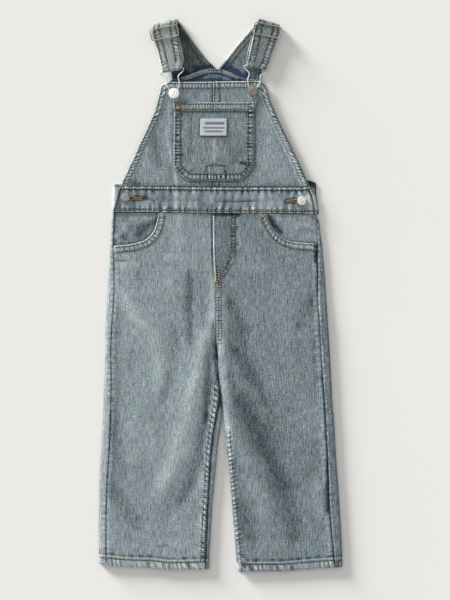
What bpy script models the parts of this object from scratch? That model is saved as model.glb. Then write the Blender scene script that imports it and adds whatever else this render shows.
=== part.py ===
"""A child's denim dungarees, laid out flat on a floor with the front up.

The file is in metres with +Z up. +Y runs from the leg hems to the shoulder straps, the floor is
z = 0 and the origin is the middle of the area the garment covers. Sizes and tables are written in
millimetres and turned into metres by MM. Names end in _l for the -X side and _r for the +X side.
"""

import math
from collections import namedtuple

import bmesh
import bpy
from mathutils import Vector

MM = 0.001

# Cloth
CLOTH = 1.2  # one layer of denim
HEM = 2.0  # a turned and stitched edge
DOUBLE = 2.4  # a waistband, folded double
WEBBING = 1.6  # a shoulder strap, folded and pressed
WOVEN = 0.6  # the woven label
GAP = 0.3  # between pieces sewn edge to edge, and between pieces that lie on each other

# Heights above the floor
HIP_LIFT = 3.2  # underside of the front above the floor at the hips
LEG_LIFT = 5.0  # the same along the legs, where the side seams roll over
BIB_RISE = 0.8  # how much higher the top of the bib lies than its foot
YOKE_LIFT = 1.9  # underside of the back bib where it lies on the straps
FRONT_LOW = 1.6  # the lowest that a fold brings the underside of a front leg

# Places along the garment
WAIST_Y = 114.5
CROTCH_Y = -73.0
HEM_Y = -382.0
HEM_DEPTH = 12.0
CENTRE_X = -5.6
BIB_FOOT_Y = 151.0
BIB_TOP_Y = 298.0
BIB_CENTRE_X = -10.5
BACK_CENTRE_X = 2.1
BIB_HEM = 9.0
BACK_INSET = 3.0  # how far the edge of the back bib lies inside the front one's

# Hardware
BUCKLE_WIRE = 0.8  # radius
SLIDER_WIRE = 0.9  # radius
SLIDER_SIZE = (38.4, 15.6)  # between the middles of its wires
SLIDER_CORNER = 3.0
FRAME_HEIGHT = 9.0  # of the middle of the slider's frame
BIB_BUTTON_R = 7.6
BUTTON_UNDER = 8.3  # underside of a bib button's head, above the buckle's wire
SIDE_BUTTON_R = 6.3

LegRow = namedtuple("LegRow", "y outer outseam inseam inner")
Fold = namedtuple("Fold", "x0 y0 x1 y1 width height")
Section = namedtuple("Section", "outer_x outer_y inner_x inner_y height")
BibRow = namedtuple("BibRow", "y left right")
Hook = namedtuple("Hook", "button turn lean")

# Each leg from the waist seam down to the hem: where its outline, its outseam and its inseam run.
LEG_L = [
    LegRow(*row)
    for row in (
        (114.5, -150.6, -148.2, CENTRE_X, CENTRE_X),
        (98.0, -152.0, -149.4, CENTRE_X, CENTRE_X),
        (70.0, -154.0, -150.4, CENTRE_X, CENTRE_X),
        (42.0, -155.0, -149.0, CENTRE_X, CENTRE_X),
        (14.0, -157.0, -148.2, CENTRE_X, CENTRE_X),
        (-14.0, -159.2, -149.5, CENTRE_X, CENTRE_X),
        (-42.0, -160.5, -152.0, CENTRE_X, CENTRE_X),
        (-60.0, -160.6, -153.0, CENTRE_X, CENTRE_X),
        (-73.0, -160.8, -153.4, -5.0, -5.0),
        (-98.0, -161.6, -153.2, -4.0, -4.0),
        (-126.0, -163.0, -152.8, -2.6, -1.8),
        (-140.0, -163.4, -153.0, -1.6, 0.8),
        (-154.0, -163.8, -153.4, -3.0, 2.2),
        (-175.0, -164.6, -154.0, -7.0, 2.0),
        (-196.0, -166.0, -154.8, -10.4, -1.3),
        (-217.0, -167.4, -155.6, -13.0, -4.0),
        (-245.0, -169.0, -157.6, -15.0, -6.8),
        (-273.0, -169.9, -159.0, -16.6, -9.5),
        (-308.0, -170.4, -160.0, -18.8, -12.4),
        (-340.0, -170.5, -160.0, -20.2, -14.4),
        (-370.0, -170.1, -160.0, -21.6, -15.7),
        (-382.0, -169.7, -160.0, -22.0, -16.0),
    )
]
LEG_R = [
    LegRow(*row)
    for row in (
        (114.5, 137.2, 134.8, CENTRE_X, CENTRE_X),
        (91.0, 139.2, 135.4, CENTRE_X, CENTRE_X),
        (63.0, 142.8, 136.0, CENTRE_X, CENTRE_X),
        (35.0, 145.4, 136.0, CENTRE_X, CENTRE_X),
        (7.0, 147.2, 136.0, CENTRE_X, CENTRE_X),
        (-21.0, 149.0, 136.6, CENTRE_X, CENTRE_X),
        (-49.0, 151.0, 138.2, CENTRE_X, CENTRE_X),
        (-60.0, 151.8, 138.8, CENTRE_X, CENTRE_X),
        (-73.0, 152.5, 139.8, -4.6, -4.6),
        (-98.0, 153.8, 141.6, -3.4, -3.6),
        (-126.0, 155.2, 143.6, -0.8, -1.0),
        (-154.0, 156.8, 145.8, 3.2, 3.0),
        (-175.0, 158.8, 147.0, 5.2, 4.9),
        (-196.0, 160.0, 148.0, 7.4, 7.0),
        (-231.0, 162.0, 150.0, 10.4, 10.0),
        (-259.0, 164.2, 151.2, 12.8, 12.3),
        (-305.0, 167.2, 153.0, 17.2, 16.7),
        (-335.0, 169.3, 156.0, 20.0, 19.5),
        (-370.0, 170.4, 159.4, 23.0, 22.4),
        (-382.0, 170.6, 160.2, 24.2, 23.6),
    )
]

# The mouths of the scoop pockets, from the waist seam down and out to the outseam: (x, y).
SCOOP_L = (
    (-87.0, 114.5), (-88.0, 105.0), (-90.4, 95.0), (-94.4, 86.5), (-100.0, 80.0),
    (-107.5, 75.4), (-116.0, 72.6), (-126.5, 70.6), (-138.0, 69.2), (-150.2, 68.4),
)
SCOOP_R = (
    (65.0, 114.5), (68.0, 103.5), (72.6, 94.5), (78.4, 86.4), (85.0, 80.6),
    (92.5, 76.8), (101.0, 74.4), (111.5, 73.0), (123.0, 72.3), (135.8, 72.0),
)
FACING_TUCK = 6.0  # how far the pocket facing runs on under the pocket mouth

# Where the waist seam and the two hems run across the garment: (x, y).
WAIST_SEAM = (
    (-151.0, 115.8), (-98.0, 116.0), (-56.0, 115.0), (-14.0, 114.4), (84.0, 114.4), (138.0, 113.0),
)
HEM_L = (
    (-170.5, -375.6), (-159.5, -377.6), (-134.0, -380.4), (-96.0, -381.4), (-72.0, -384.6),
    (-16.0, -383.2),
)
HEM_R = ((23.0, -387.0), (90.0, -386.4), (138.0, -382.2), (160.0, -381.0), (171.0, -380.0))

# The largest folds of the front legs: soft ridges (+) and troughs (-) along straight lines.
LEG_SAG = -1.3
FOLDS = [
    Fold(*row)
    for row in (
        (-125.0, -12.0, -97.0, -136.0, 14.0, 0.9),
        (-48.0, -5.0, -49.0, -62.0, 8.0, -1.0),
        (-19.0, -52.0, -21.0, -170.0, 9.0, -1.9),
        (-27.0, -60.0, -62.0, -165.0, 14.0, 1.0),
        (-30.0, -200.0, -84.0, -252.0, 16.0, -1.1),
        (-110.0, -150.0, -118.0, -260.0, 18.0, 0.6),
        (16.0, -21.0, 54.0, -116.0, 13.0, -1.5),
        (54.0, -116.0, 88.0, -225.0, 14.0, -1.8),
        (88.0, -225.0, 90.0, -305.0, 14.0, -1.2),
        (0.0, -96.0, 45.0, -200.0, 14.0, 1.0),
        (104.0, -130.0, 122.0, -300.0, 18.0, 0.7),
    )
]

# The sides of the bib, from the waistband to its top corners.
BIB = [
    BibRow(*row)
    for row in (
        (151.0, -140.0, 124.0),
        (161.0, -136.4, 120.8),
        (175.0, -129.4, 114.8),
        (189.0, -122.8, 108.3),
        (203.0, -116.6, 101.7),
        (217.0, -110.2, 94.9),
        (231.0, -103.6, 87.9),
        (245.0, -97.2, 81.2),
        (259.0, -91.4, 75.5),
        (273.0, -87.7, 69.4),
        (288.0, -84.2, 65.4),
    )
]
BIB_CORNER_L = ((-82.0, 293.6), (-73.0, 297.2))
BIB_CORNER_R = ((63.4, 293.4), (54.6, 298.8))

# The upper edges and the right ends of the two waistbands: (x, y).
FRONT_WAIST_TOP = ((-142.0, 151.0), (-84.0, 150.5), (0.0, 149.4), (112.0, 149.4), (124.4, 151.0))
FRONT_WAIST_END = ((129.5, 140.0), (133.4, 122.0), (134.6, 113.2))
BACK_WAIST_TOP = ((-149.0, 155.4), (-139.5, 156.0), (0.0, 157.0), (122.0, 160.6), (133.5, 157.0))
BACK_WAIST_END = ((133.9, 140.0), (136.6, 126.0), (137.2, 113.2))

# The arch at the top of the back bib, and the lower edge of the band that faces it: (x, y).
ARCH = (
    (-55.5, 304.0), (-42.5, 308.6), (-28.5, 314.0), (-19.0, 316.0), (-8.0, 316.4),
    (2.0, 315.4), (13.5, 311.4), (27.5, 304.8), (34.0, 302.4),
)
ARCH_FOOT = (
    (-50.5, 299.8), (-41.0, 301.9), (-26.5, 307.4), (-17.8, 309.3), (-8.2, 309.7),
    (0.6, 308.9), (11.0, 305.4), (21.5, 300.8), (29.0, 300.8),
)

# The straps. First the part behind, from under the back bib up to the shoulder fold (the outer
# edge, the inner edge and the height), then the front part down to the buckle.
BACK_STRAP_L = [
    Section(*row)
    for row in (
        (-66.0, 294.0, -3.4, 294.0, 0.8),
        (-68.8, 313.5, -4.4, 315.2, 0.8),
        (-72.0, 329.0, -19.4, 329.6, 0.8),
        (-78.0, 346.0, -32.4, 346.6, 0.8),
        (-84.6, 361.6, -44.2, 363.0, 0.8),
    )
]
FRONT_STRAP_L = [
    Section(*row)
    for row in (
        (-96.2, 368.2, -61.4, 375.6, 7.0),
        (-93.4, 355.6, -60.6, 361.4, 7.0),
        (-88.0, 340.0, -56.6, 343.8, 7.0),
        (-84.2, 325.0, -53.4, 329.0, 7.0),
    )
]
BACK_STRAP_R = [
    Section(*row)
    for row in (
        (56.6, 294.0, -2.9, 294.0, 0.8),
        (58.0, 313.5, -2.2, 316.0, 0.8),
        (60.8, 329.0, 8.2, 329.6, 0.8),
        (65.0, 346.0, 21.6, 346.8, 0.8),
        (70.4, 360.0, 35.4, 362.8, 0.8),
    )
]
FRONT_STRAP_R = [
    Section(*row)
    for row in (
        (83.2, 367.0, 48.2, 374.2, 7.0),
        (78.4, 354.4, 45.8, 362.0, 7.0),
        (71.0, 336.0, 41.0, 342.0, 7.0),
        (67.6, 323.4, 38.2, 329.0, 7.0),
    )
]
SHOULDER_L = ((-95.6, 377.6), (-60.0, 387.0))  # the outline at the shoulder fold: outer, inner
SHOULDER_R = ((83.2, 378.2), (53.4, 386.6))
TAIL_SHIFT = 2.6  # the returning layer lies a little towards the garment's middle
TAIL_HEIGHT = 3.2

# Half of the buckle's wire, from the bar's end round to the slot: across and along, as seen from
# the button it is hooked on, and the height of the wire there. The bar is straight.
BAR_ALONG = 33.6
BAR_HEIGHT = 5.1
WIRE_HEIGHT = 7.1
BUCKLE_HALF = (
    (11.0, BAR_ALONG, BAR_HEIGHT), (15.0, BAR_ALONG, BAR_HEIGHT), (16.4, 31.9, BAR_HEIGHT),
    (15.5, 29.4, 5.3), (12.4, 26.8, 5.8), (9.2, 24.6, 6.6), (7.7, 21.6, WIRE_HEIGHT),
    (8.5, 17.8, WIRE_HEIGHT), (8.9, 14.2, WIRE_HEIGHT), (7.6, 9.4, WIRE_HEIGHT),
    (5.9, 4.8, WIRE_HEIGHT), (5.4, -0.6, WIRE_HEIGHT), (5.2, -5.4, WIRE_HEIGHT),
    (3.4, -8.8, WIRE_HEIGHT),
)
BUCKLE_FOOT = (0.0, -10.0, WIRE_HEIGHT)
STRAP_END = (-13.4, 14.4)  # across the bar, where the strap's two edges lie

# Each bib button, the turn of the buckle hooked on it, and how much more its bar leans.
HOOK_L = Hook((-65.0, 281.5), 0.085, 0.085)
HOOK_R = Hook((44.5, 285.5), -0.165, 0.0)
SIDE_AT_L = (-132.5, 136.0)
SIDE_AT_R = (113.5, 131.5)

# The J of the mock fly, from the waist seam down the folded edge and back up: (x, y).
FLY = (
    (-10.2, 113.9), (-10.0, 77.0), (-9.4, 49.0), (-9.0, 36.0), (-6.4, 17.0), (0.6, 21.6),
    (7.4, 28.4), (13.4, 38.4), (18.2, 50.0), (20.6, 62.0), (21.4, 77.0), (21.6, 113.9),
)


def smooth(value):
    """A soft step from 0 to 1."""
    value = min(max(value, 0.0), 1.0)
    return value * value * (3.0 - 2.0 * value)


def along(line, x):
    """The height of an open line of points at x."""
    line = sorted(line)
    if x <= line[0][0]:
        return line[0][1]
    for (x0, y0), (x1, y1) in zip(line, line[1:]):
        if x <= x1:
            return y0 + (y1 - y0) * (x - x0) / (x1 - x0)
    return line[-1][1]


def leg_row(table, y):
    """The leg's outline and seams at any height, between the rows of its table."""
    if y >= table[0].y:
        return table[0]._replace(y=y)
    for upper, lower in zip(table, table[1:]):
        if y >= lower.y:
            part = (upper.y - y) / (upper.y - lower.y)
            return LegRow(y, *(a + (b - a) * part for a, b in zip(upper[1:], lower[1:])))
    return table[-1]._replace(y=y)


def settled(x, y, hem):
    """Where a point of a leg lies once its waist seam and hem run as they do."""
    rise = along(WAIST_SEAM, x) - WAIST_Y - GAP
    drop = along(hem, x) - HEM_Y
    near_waist = smooth((y - 60.0) / (WAIST_Y - 60.0))
    near_hem = smooth((y + 290.0) / (HEM_Y + 290.0))
    return y + rise * near_waist + drop * near_hem


def lift(y):
    """The underside of the front above the floor, along the rolled side seams."""
    return HIP_LIFT + (LEG_LIFT - HIP_LIFT) * smooth((12.0 - y) / 60.0)


def fold_height(x, y):
    """How far the folds move the front of a leg up or down."""
    height = LEG_SAG
    point = Vector((x, y))
    for fold in FOLDS:
        start = Vector((fold.x0, fold.y0))
        run = Vector((fold.x1, fold.y1)) - start
        part = min(max((point - start).dot(run) / run.length_squared, 0.0), 1.0)
        distance = (point - start - run * part).length
        height += fold.height * math.exp(-((distance / fold.width) ** 2))
    return height


def finish(name, mesh, finish_material):
    """A bmesh in millimetres made into a named object, with its faces pointing out."""
    bmesh.ops.scale(mesh, vec=(MM, MM, MM), verts=mesh.verts)
    bmesh.ops.recalc_face_normals(mesh, faces=mesh.faces)
    data = bpy.data.meshes.new(name)
    mesh.to_mesh(data)
    mesh.free()
    data.materials.append(finish_material)
    piece = bpy.data.objects.new(name, data)
    bpy.context.collection.objects.link(piece)
    return piece


def shell(name, outer, inner, cloth):
    """A closed wall between two grids of points with the same rows and columns."""
    rows, columns = len(outer), len(outer[0])
    mesh = bmesh.new()
    skins = [[[mesh.verts.new(point) for point in row] for row in skin] for skin in (outer, inner)]
    for skin in skins:
        for i in range(rows - 1):
            for j in range(columns - 1):
                mesh.faces.new((skin[i][j], skin[i][j + 1], skin[i + 1][j + 1], skin[i + 1][j]))
    rim = [(0, j) for j in range(columns)] + [(i, columns - 1) for i in range(1, rows)]
    rim += [(rows - 1, j) for j in range(columns - 2, -1, -1)] + [(i, 0) for i in range(rows - 2, 0, -1)]
    for (i, j), (k, m) in zip(rim, rim[1:] + rim[:1]):
        mesh.faces.new((skins[0][i][j], skins[0][k][m], skins[1][k][m], skins[1][i][j]))
    return finish(name, mesh, cloth)


def slab(name, outline, base, thickness, cloth):
    """A flat piece of cloth with the given outline, its underside at the height base."""
    mesh = bmesh.new()
    low = [mesh.verts.new((x, y, base)) for x, y in outline]
    high = [mesh.verts.new((x, y, base + thickness)) for x, y in outline]
    mesh.faces.new(low)
    mesh.faces.new(high)
    for i, start in enumerate(low):
        j = (i + 1) % len(low)
        mesh.faces.new((start, low[j], high[j], high[i]))
    bmesh.ops.triangulate(mesh, faces=mesh.faces)
    return finish(name, mesh, cloth)


def sloped(name, rows, thickness, cloth):
    """A piece from rows of (x, y, underside) columns, with a thickness for each row or column."""
    low = [[Vector(point) for point in row] for row in rows]
    high = [
        [point + Vector((0.0, 0.0, thick)) for point, thick in zip(row, thicks)]
        for row, thicks in zip(low, thickness)
    ]
    return shell(name, high, low, cloth)


# Legs


def roll_radius(y):
    return (lift(y) + CLOTH) / 2


def seam_run(y, wrap):
    """How far up the rolled edge a seam lies, from where the cloth leaves the floor."""
    outside = roll_radius(y)
    middle = outside - CLOTH / 2
    if wrap >= outside:
        return math.pi * middle + wrap - outside
    return middle * (math.pi / 2 + math.acos(min((outside - wrap) / middle, 1.0)))


def rolled(y, edge, toward, run):
    """A point of the middle of the cloth that far up the roll along an edge, and its normal."""
    outside = roll_radius(y)
    middle = outside - CLOTH / 2
    centre = edge - toward * outside
    if run > math.pi * middle:
        return centre - toward * (run - math.pi * middle), outside + middle, 0.0, 1.0
    angle = run / middle - math.pi / 2
    across, up = toward * math.cos(angle), math.sin(angle)
    return centre + middle * across, outside + middle * up, across, up


def roll_points(y, edge, toward, end, steps=5):
    """Points from the floor up the roll to its end, closer together round the bend."""
    bend = math.pi * (roll_radius(y) - CLOTH / 2)
    runs = [min(bend * k / (steps - 1), end * k / steps) for k in range(steps)] + [end]
    return [rolled(y, edge, toward, run) for run in runs]


def on_floor(x):
    return x, CLOTH / 2, 0.0, -1.0


def back_section(table, toward, y):
    """The back panel's cloth from the outseam, under the leg, to the inseam: (x, z, normal)."""
    row = leg_row(table, y)
    end = seam_run(y, toward * (row.outer - row.outseam)) - GAP / 2
    outer = roll_points(y, row.outer, toward, end)
    if y > CROTCH_Y:
        edge = row.inner + toward * GAP / 2
        inner = [on_floor(edge + toward * (5 - k) * 1.6) for k in range(6)]
    else:
        end = seam_run(y, toward * (row.inseam - row.inner)) - GAP / 2
        inner = roll_points(y, row.inner, -toward, end)
    first, last = outer[0][0], inner[0][0]
    floor = [on_floor(first + (last - first) * part) for part in (0.33, 0.67)]
    return outer[::-1] + floor + inner


def leg_panel(name, rows, hem, cloth):
    """A leg panel from (y, section, is it hem) rows, thickened along the section's normals."""
    outer, inner = [], []
    for y, section, turned in rows:
        inward = (HEM if turned else CLOTH) - CLOTH / 2
        for skin, shift in ((outer, CLOTH / 2), (inner, -inward)):
            points = [(x + across * shift, z + up * shift) for x, z, across, up in section]
            skin.append([Vector((x, settled(x, y, hem), z)) for x, z in points])
    return shell(name, outer, inner, cloth)


LEG_YS = (
    114.5, 98.0, 84.0, 68.4, 60.0, 30.0, 5.0, -20.0, -42.0, -60.0, -73.0, -85.0, -98.0, -112.0,
    -126.0, -140.0, -154.0, -168.0, -182.0, -196.0, -213.0, -231.0, -250.0, -273.0, -300.0, -325.0,
    -350.0,
)
FRONT_YS = LEG_YS[4:]  # the rows of the front below its pocket mouth


def with_hem(ys):
    """Rows for the panel, then the step up to the turned hem, then the hem's fold."""
    step = HEM_Y + HEM_DEPTH
    return [(y, False) for y in ys] + [(step, False), (step - 0.4, True), (HEM_Y, True)]


def back_leg(name, table, toward, hem, cloth):
    rows = [(y, back_section(table, toward, y), turned) for y, turned in with_hem(LEG_YS)]
    return leg_panel(name, rows, hem, cloth)


def front_point(table, toward, x, y):
    """The front panel's cloth at x: on top, folded as it lies, or on the roll along an edge."""
    row = leg_row(table, y)
    outside = roll_radius(y)
    middle = outside - CLOTH / 2
    edges = [(row.outer, toward)]
    if y <= CROTCH_Y:
        edges.append((row.inner, -toward))
    for edge, way in edges:
        side = (outside - way * (edge - x)) / middle
        if side > 0.0:
            side = min(side, 1.0)
            up = math.sqrt(1.0 - side * side)
            return edge - way * (outside - middle * side), outside + middle * up, way * side, up
    window = smooth(toward * (row.outseam - x) / 14.0) * smooth(toward * (x - row.inseam) / 14.0)
    window *= smooth((20.0 - y) / 55.0) * (1.0 - 0.7 * smooth((-335.0 - y) / 30.0))
    top = lift(y) + CLOTH / 2
    height = top + fold_height(x, y) * window
    return x, min(max(height, FRONT_LOW + CLOTH / 2), top), 0.0, 1.0


# Where the columns of the front leg lie, from its outseam to its inseam.
FRONT_COLUMNS = (
    0.0, 0.012, 0.03, 0.08, 0.16, 0.25, 0.34, 0.43, 0.52, 0.61, 0.7, 0.78, 0.86, 0.92, 0.966, 0.987, 1.0,
)


def front_leg(name, table, toward, scoop, hem, cloth):
    ends = [(y, False, x) for x, y in scoop]
    ends += [(y, turned, leg_row(table, y).outseam) for y, turned in with_hem(FRONT_YS)]
    rows = []
    for y, turned, outseam in ends:
        outer = outseam - toward * GAP / 2
        inner = leg_row(table, y).inseam + toward * GAP / 2
        xs = [outer + (inner - outer) * part for part in FRONT_COLUMNS]
        rows.append((y, [front_point(table, toward, x, y) for x in xs], turned))
    return leg_panel(name, rows, hem, cloth)


def pocket_facing(name, table, toward, scoop, hem, cloth):
    """The denim that shows inside a scoop pocket, tucked under the pocket mouth and the outseam."""
    tucked = []
    for k, (x, y) in enumerate(scoop):
        before, after = scoop[max(k - 1, 0)], scoop[min(k + 1, len(scoop) - 1)]
        run = (Vector(after) - Vector(before)).normalized()
        away = Vector((-toward, 0.0)) if k == 0 else Vector((run.y, -run.x)) * toward
        tucked.append(Vector((x, y)) + away * FACING_TUCK)
    side = [Vector((leg_row(table, y).outer - toward * 2.6, y)) for y in (scoop[-1][1], 92.0, WAIST_Y)]
    tucked[-1].x = side[0].x
    outline = [(x, settled(x, y, hem)) for x, y in tucked + side]
    return slab(name, outline, HIP_LIFT - CLOTH - GAP, CLOTH, cloth)


# Waist and bib


def waistband(name, top, end, base, cloth):
    """A band folded double, from its upper edge round its right end and back along the waist seam."""
    foot = [(x, along(WAIST_SEAM, x)) for x in (84.0, -14.0, -56.0, -98.0, -150.6)]
    return slab(name, list(top) + list(end) + foot, base, DOUBLE, cloth)


def bib_base(y):
    """The underside of the bib above the floor."""
    return HIP_LIFT + BIB_RISE * (y - BIB_FOOT_Y) / (BIB_TOP_Y - BIB_FOOT_Y)


def bib_half(name, side, corner, cloth):
    """One half of the bib, from its hemmed edge to the middle seam, hemmed along its top too."""
    seam = BIB_CENTRE_X + (-GAP / 2 if side == "left" else GAP / 2)
    inward = 1.0 if side == "left" else -1.0
    rows, thickness = [], []
    edges = [(row.y, getattr(row, side)) for row in BIB]
    edges.append((edges[-1][0] + 0.4, edges[-1][1]))
    for k, (y, edge) in enumerate(edges):
        if k == 0:
            y = 151.5
        xs = (edge, edge + inward * (BIB_HEM - 0.4), edge + inward * BIB_HEM, seam)
        rows.append([(x, y, bib_base(y)) for x in xs])
        turned = k == len(edges) - 1
        thickness.append((HEM, HEM, HEM if turned else CLOTH, HEM if turned else CLOTH))
    inner_x, inner_y = corner[1]
    top = (*corner, (inner_x + inward * 4.0, inner_y + 0.4), (seam, BIB_TOP_Y))
    rows.append([(x, y, bib_base(y)) for x, y in top])
    thickness.append((HEM,) * 4)
    return sloped(name, rows, thickness, cloth)


def on_bib(y):
    """The face of a single layer of the bib, with the gap above it."""
    return bib_base(y) + CLOTH + GAP


def bib_pocket(cloth):
    """The patch pocket, with its two cut corners and its hemmed mouth."""
    sides = (
        (159.6, -47.0, 30.0, CLOTH),
        (167.0, -55.0, 38.0, CLOTH),
        (176.5, -64.4, 46.0, CLOTH),
        (181.0, -66.0, 47.6, CLOTH),
        (256.8, -65.2, 47.6, CLOTH),
        (257.2, -65.2, 47.6, HEM),
        (269.0, -66.5, 50.4, HEM),
    )
    rows = [[(left, y, on_bib(y)), (right, y, on_bib(y))] for y, left, right, thick in sides]
    return sloped("bib_pocket", rows, [(side[3], side[3]) for side in sides], cloth)


def label(cloth):
    low, high = 222.2, 246.4
    rows = [[(x, y, on_bib(y) + CLOTH + GAP) for x in (-28.6, 9.0)] for y in (low, high)]
    return sloped("label", rows, [(WOVEN, WOVEN)] * 2, cloth)


def back_bib_half(name, side, corner, cloth):
    """One half of the back bib, hidden but for its arched top, which lies over the straps' ends."""
    inward = 1.0 if side == "left" else -1.0
    seam = BACK_CENTRE_X - inward * GAP / 2
    steps = [c / 6.0 for c in range(7)]
    rows = []
    for row in [BIB[0]] + BIB[2:]:
        outer = getattr(row, side) + inward * BACK_INSET
        height = YOKE_LIFT * smooth((row.y - 255.0) / 30.0)
        rows.append([[outer + (seam - outer) * step, row.y, height] for step in steps])
    for point in rows[0]:
        point[1] = along(BACK_WAIST_TOP, point[0]) + GAP
    arch_end = ARCH[0][0] if side == "left" else ARCH[-1][0]
    arch_xs = [arch_end + (seam - arch_end) * step for step in (0.0, 0.2, 0.4, 0.6, 0.8, 1.0)]
    top = [corner] + [(x, along(ARCH, x)) for x in arch_xs]
    rows.append([(x, y, YOKE_LIFT) for x, y in top])
    return sloped(name, rows, [(CLOTH,) * 7] * len(rows), cloth)


def back_facing(cloth):
    """The band stitched along the arch at the top of the back bib."""
    base = YOKE_LIFT + CLOTH + GAP
    rows = [[(x, y, base), (u, v, base)] for (x, y), (u, v) in zip(ARCH, ARCH_FOOT)]
    return sloped("back_facing", rows, [(CLOTH, CLOTH)] * len(rows), cloth)


# Straps


def ribbon(name, sections, cloth):
    """A strap through (outer edge, inner edge) pairs of points that follow its middle."""
    high, low = [], []
    for k, (outer, inner) in enumerate(sections):
        before, after = sections[max(k - 1, 0)], sections[min(k + 1, len(sections) - 1)]
        run = (sum(after, Vector()) - sum(before, Vector())).normalized()
        normal = run.cross(inner - outer).normalized() * WEBBING / 2
        high.append([outer + normal, inner + normal])
        low.append([outer - normal, inner - normal])
    return shell(name, high, low, cloth)


def bend(outline, inside, low, high, steps):
    """Half a turn of the strap, between two heights, that ends at an outline in plan.

    inside is any point of the garment on the strap's side of the outline.
    """
    outer, inner = (Vector((x, y, 0.0)) for x, y in outline)
    run = (inner - outer).normalized()
    back = Vector((-run.y, run.x, 0.0))
    if back.dot(Vector((*inside, 0.0)) - outer) < 0.0:
        back.negate()
    radius = (high - low) / 2
    pairs = []
    for k in range(steps + 1):
        angle = math.pi * k / steps
        shift = back * (radius + WEBBING / 2 - radius * math.sin(angle))
        height = Vector((0.0, 0.0, (low + high) / 2 - radius * math.cos(angle)))
        pairs.append((outer + shift + height, inner + shift + height))
    return pairs


def pairs_of(sections):
    return [
        (Vector((s.outer_x, s.outer_y, s.height)), Vector((s.inner_x, s.inner_y, s.height)))
        for s in sections
    ]


def strap(name, behind, front, shoulder, end, shift, cloth):
    """The strap: up the back, over the shoulder, down to the buckle's bar and back beneath."""
    top = front[0].height
    middle = (front[-1].outer_x, front[-1].outer_y)
    sections = pairs_of(behind)
    sections += bend(shoulder, middle, WEBBING / 2, top, 6)
    sections += pairs_of(front)
    sections += bend(end, middle, TAIL_HEIGHT, top, 5)[::-1]
    sections += pairs_of(
        section._replace(
            outer_x=section.outer_x + shift, inner_x=section.inner_x + shift, height=TAIL_HEIGHT
        )
        for section in front[:0:-1]
    )
    return ribbon(name, sections, cloth)


def strap_end(hook, outer, inner):
    """The outline of the strap's fold round the buckle's bar, given its two edges' places."""
    inset = (BAR_HEIGHT - TAIL_HEIGHT) + WEBBING / 2
    ends = [turned_plan(hook, across, BAR_ALONG - inset, 0.0) for across in (outer, inner)]
    return [(end.x, end.y) for end in ends]


# Hardware


def curve_through(points, steps):
    """A smooth closed curve through its points, as a list of points."""
    count = len(points)
    found = []
    for k in range(count):
        a, b, c, d = (points[(k + shift) % count] for shift in (-1, 0, 1, 2))
        for step in range(steps):
            t = step / steps
            square = (2 * a - 5 * b + 4 * c - d) * t**2
            cube = (3 * b - a - 3 * c + d) * t**3
            found.append(0.5 * (2 * b + (c - a) * t + square + cube))
    return found


def wire(name, points, radius, metal, cyclic=True):
    """A bent wire along its points, closed on itself or with filled ends."""
    data = bpy.data.curves.new(name, "CURVE")
    data.dimensions = "3D"
    data.bevel_depth = radius * MM
    data.bevel_resolution = 2
    data.use_fill_caps = not cyclic
    spline = data.splines.new("POLY")
    spline.points.add(len(points) - 1)
    for slot, point in zip(spline.points, points):
        slot.co = (*(point * MM), 1.0)
    spline.use_cyclic_u = cyclic
    data.materials.append(metal)
    piece = bpy.data.objects.new(name, data)
    bpy.context.collection.objects.link(piece)
    return piece


def turned_plan(hook, across, forward, height):
    """A point across and forward of a button, in a frame turned about it, with the bar's lean."""
    cos, sin = math.cos(hook.turn), math.sin(hook.turn)
    forward += across * hook.lean * smooth((forward - 12.0) / 14.0)
    x = hook.button[0] + across * cos - forward * sin
    y = hook.button[1] + across * sin + forward * cos
    return Vector((x, y, height))


def buckle(name, hook, metal):
    """One closed wire: the bar, two shoulders, the neck and the slot round the button's shank."""
    half = [turned_plan(hook, *point) for point in BUCKLE_HALF]
    other = [turned_plan(hook, -across, *rest) for across, *rest in BUCKLE_HALF]
    points = half + [turned_plan(hook, *BUCKLE_FOOT)] + other[::-1]
    return wire(name, curve_through(points, 2), BUCKLE_WIRE, metal)


def as_mesh(piece):
    """The wire's curve made a mesh, for the union."""
    name, metal = piece.name, piece.data.materials[0]
    data = bpy.data.meshes.new_from_object(piece)
    bpy.data.objects.remove(piece)
    data.materials.clear()
    data.materials.append(metal)
    made = bpy.data.objects.new(name, data)
    bpy.context.collection.objects.link(made)
    return made


def slider(name, centre, turn, metal):
    """A wire frame over the strap, and a bar under it that is bent up into the frame's ends."""
    place = Hook(centre, turn, 0.0)
    half, depth = SLIDER_SIZE[0] / 2, SLIDER_SIZE[1] / 2
    points = []
    for k, (sx, sy) in enumerate(((1, 1), (-1, 1), (-1, -1), (1, -1))):
        for step in range(4):
            angle = math.pi / 2 * (k + step / 3)
            x = sx * (half - SLIDER_CORNER) + SLIDER_CORNER * math.cos(angle)
            y = sy * (depth - SLIDER_CORNER) + SLIDER_CORNER * math.sin(angle)
            points.append(turned_plan(place, x, y, FRAME_HEIGHT))
    frame = as_mesh(wire(name, points, SLIDER_WIRE, metal))
    route = [(half, FRAME_HEIGHT), (half - 0.1, BAR_HEIGHT + 1.2), (half - 1.2, BAR_HEIGHT)]
    route += [(0.0, BAR_HEIGHT)] + [(-x, z) for x, z in route[::-1]]
    points = [turned_plan(place, x, 0.0, z) for x, z in route]
    bar = as_mesh(wire(name + ".bar", points, BUCKLE_WIRE, metal, cyclic=False))
    bar.hide_render = True
    bar.display_type = "WIRE"
    join = frame.modifiers.new("bar", "BOOLEAN")
    join.operation = "UNION"
    join.object = bar
    return frame


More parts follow.
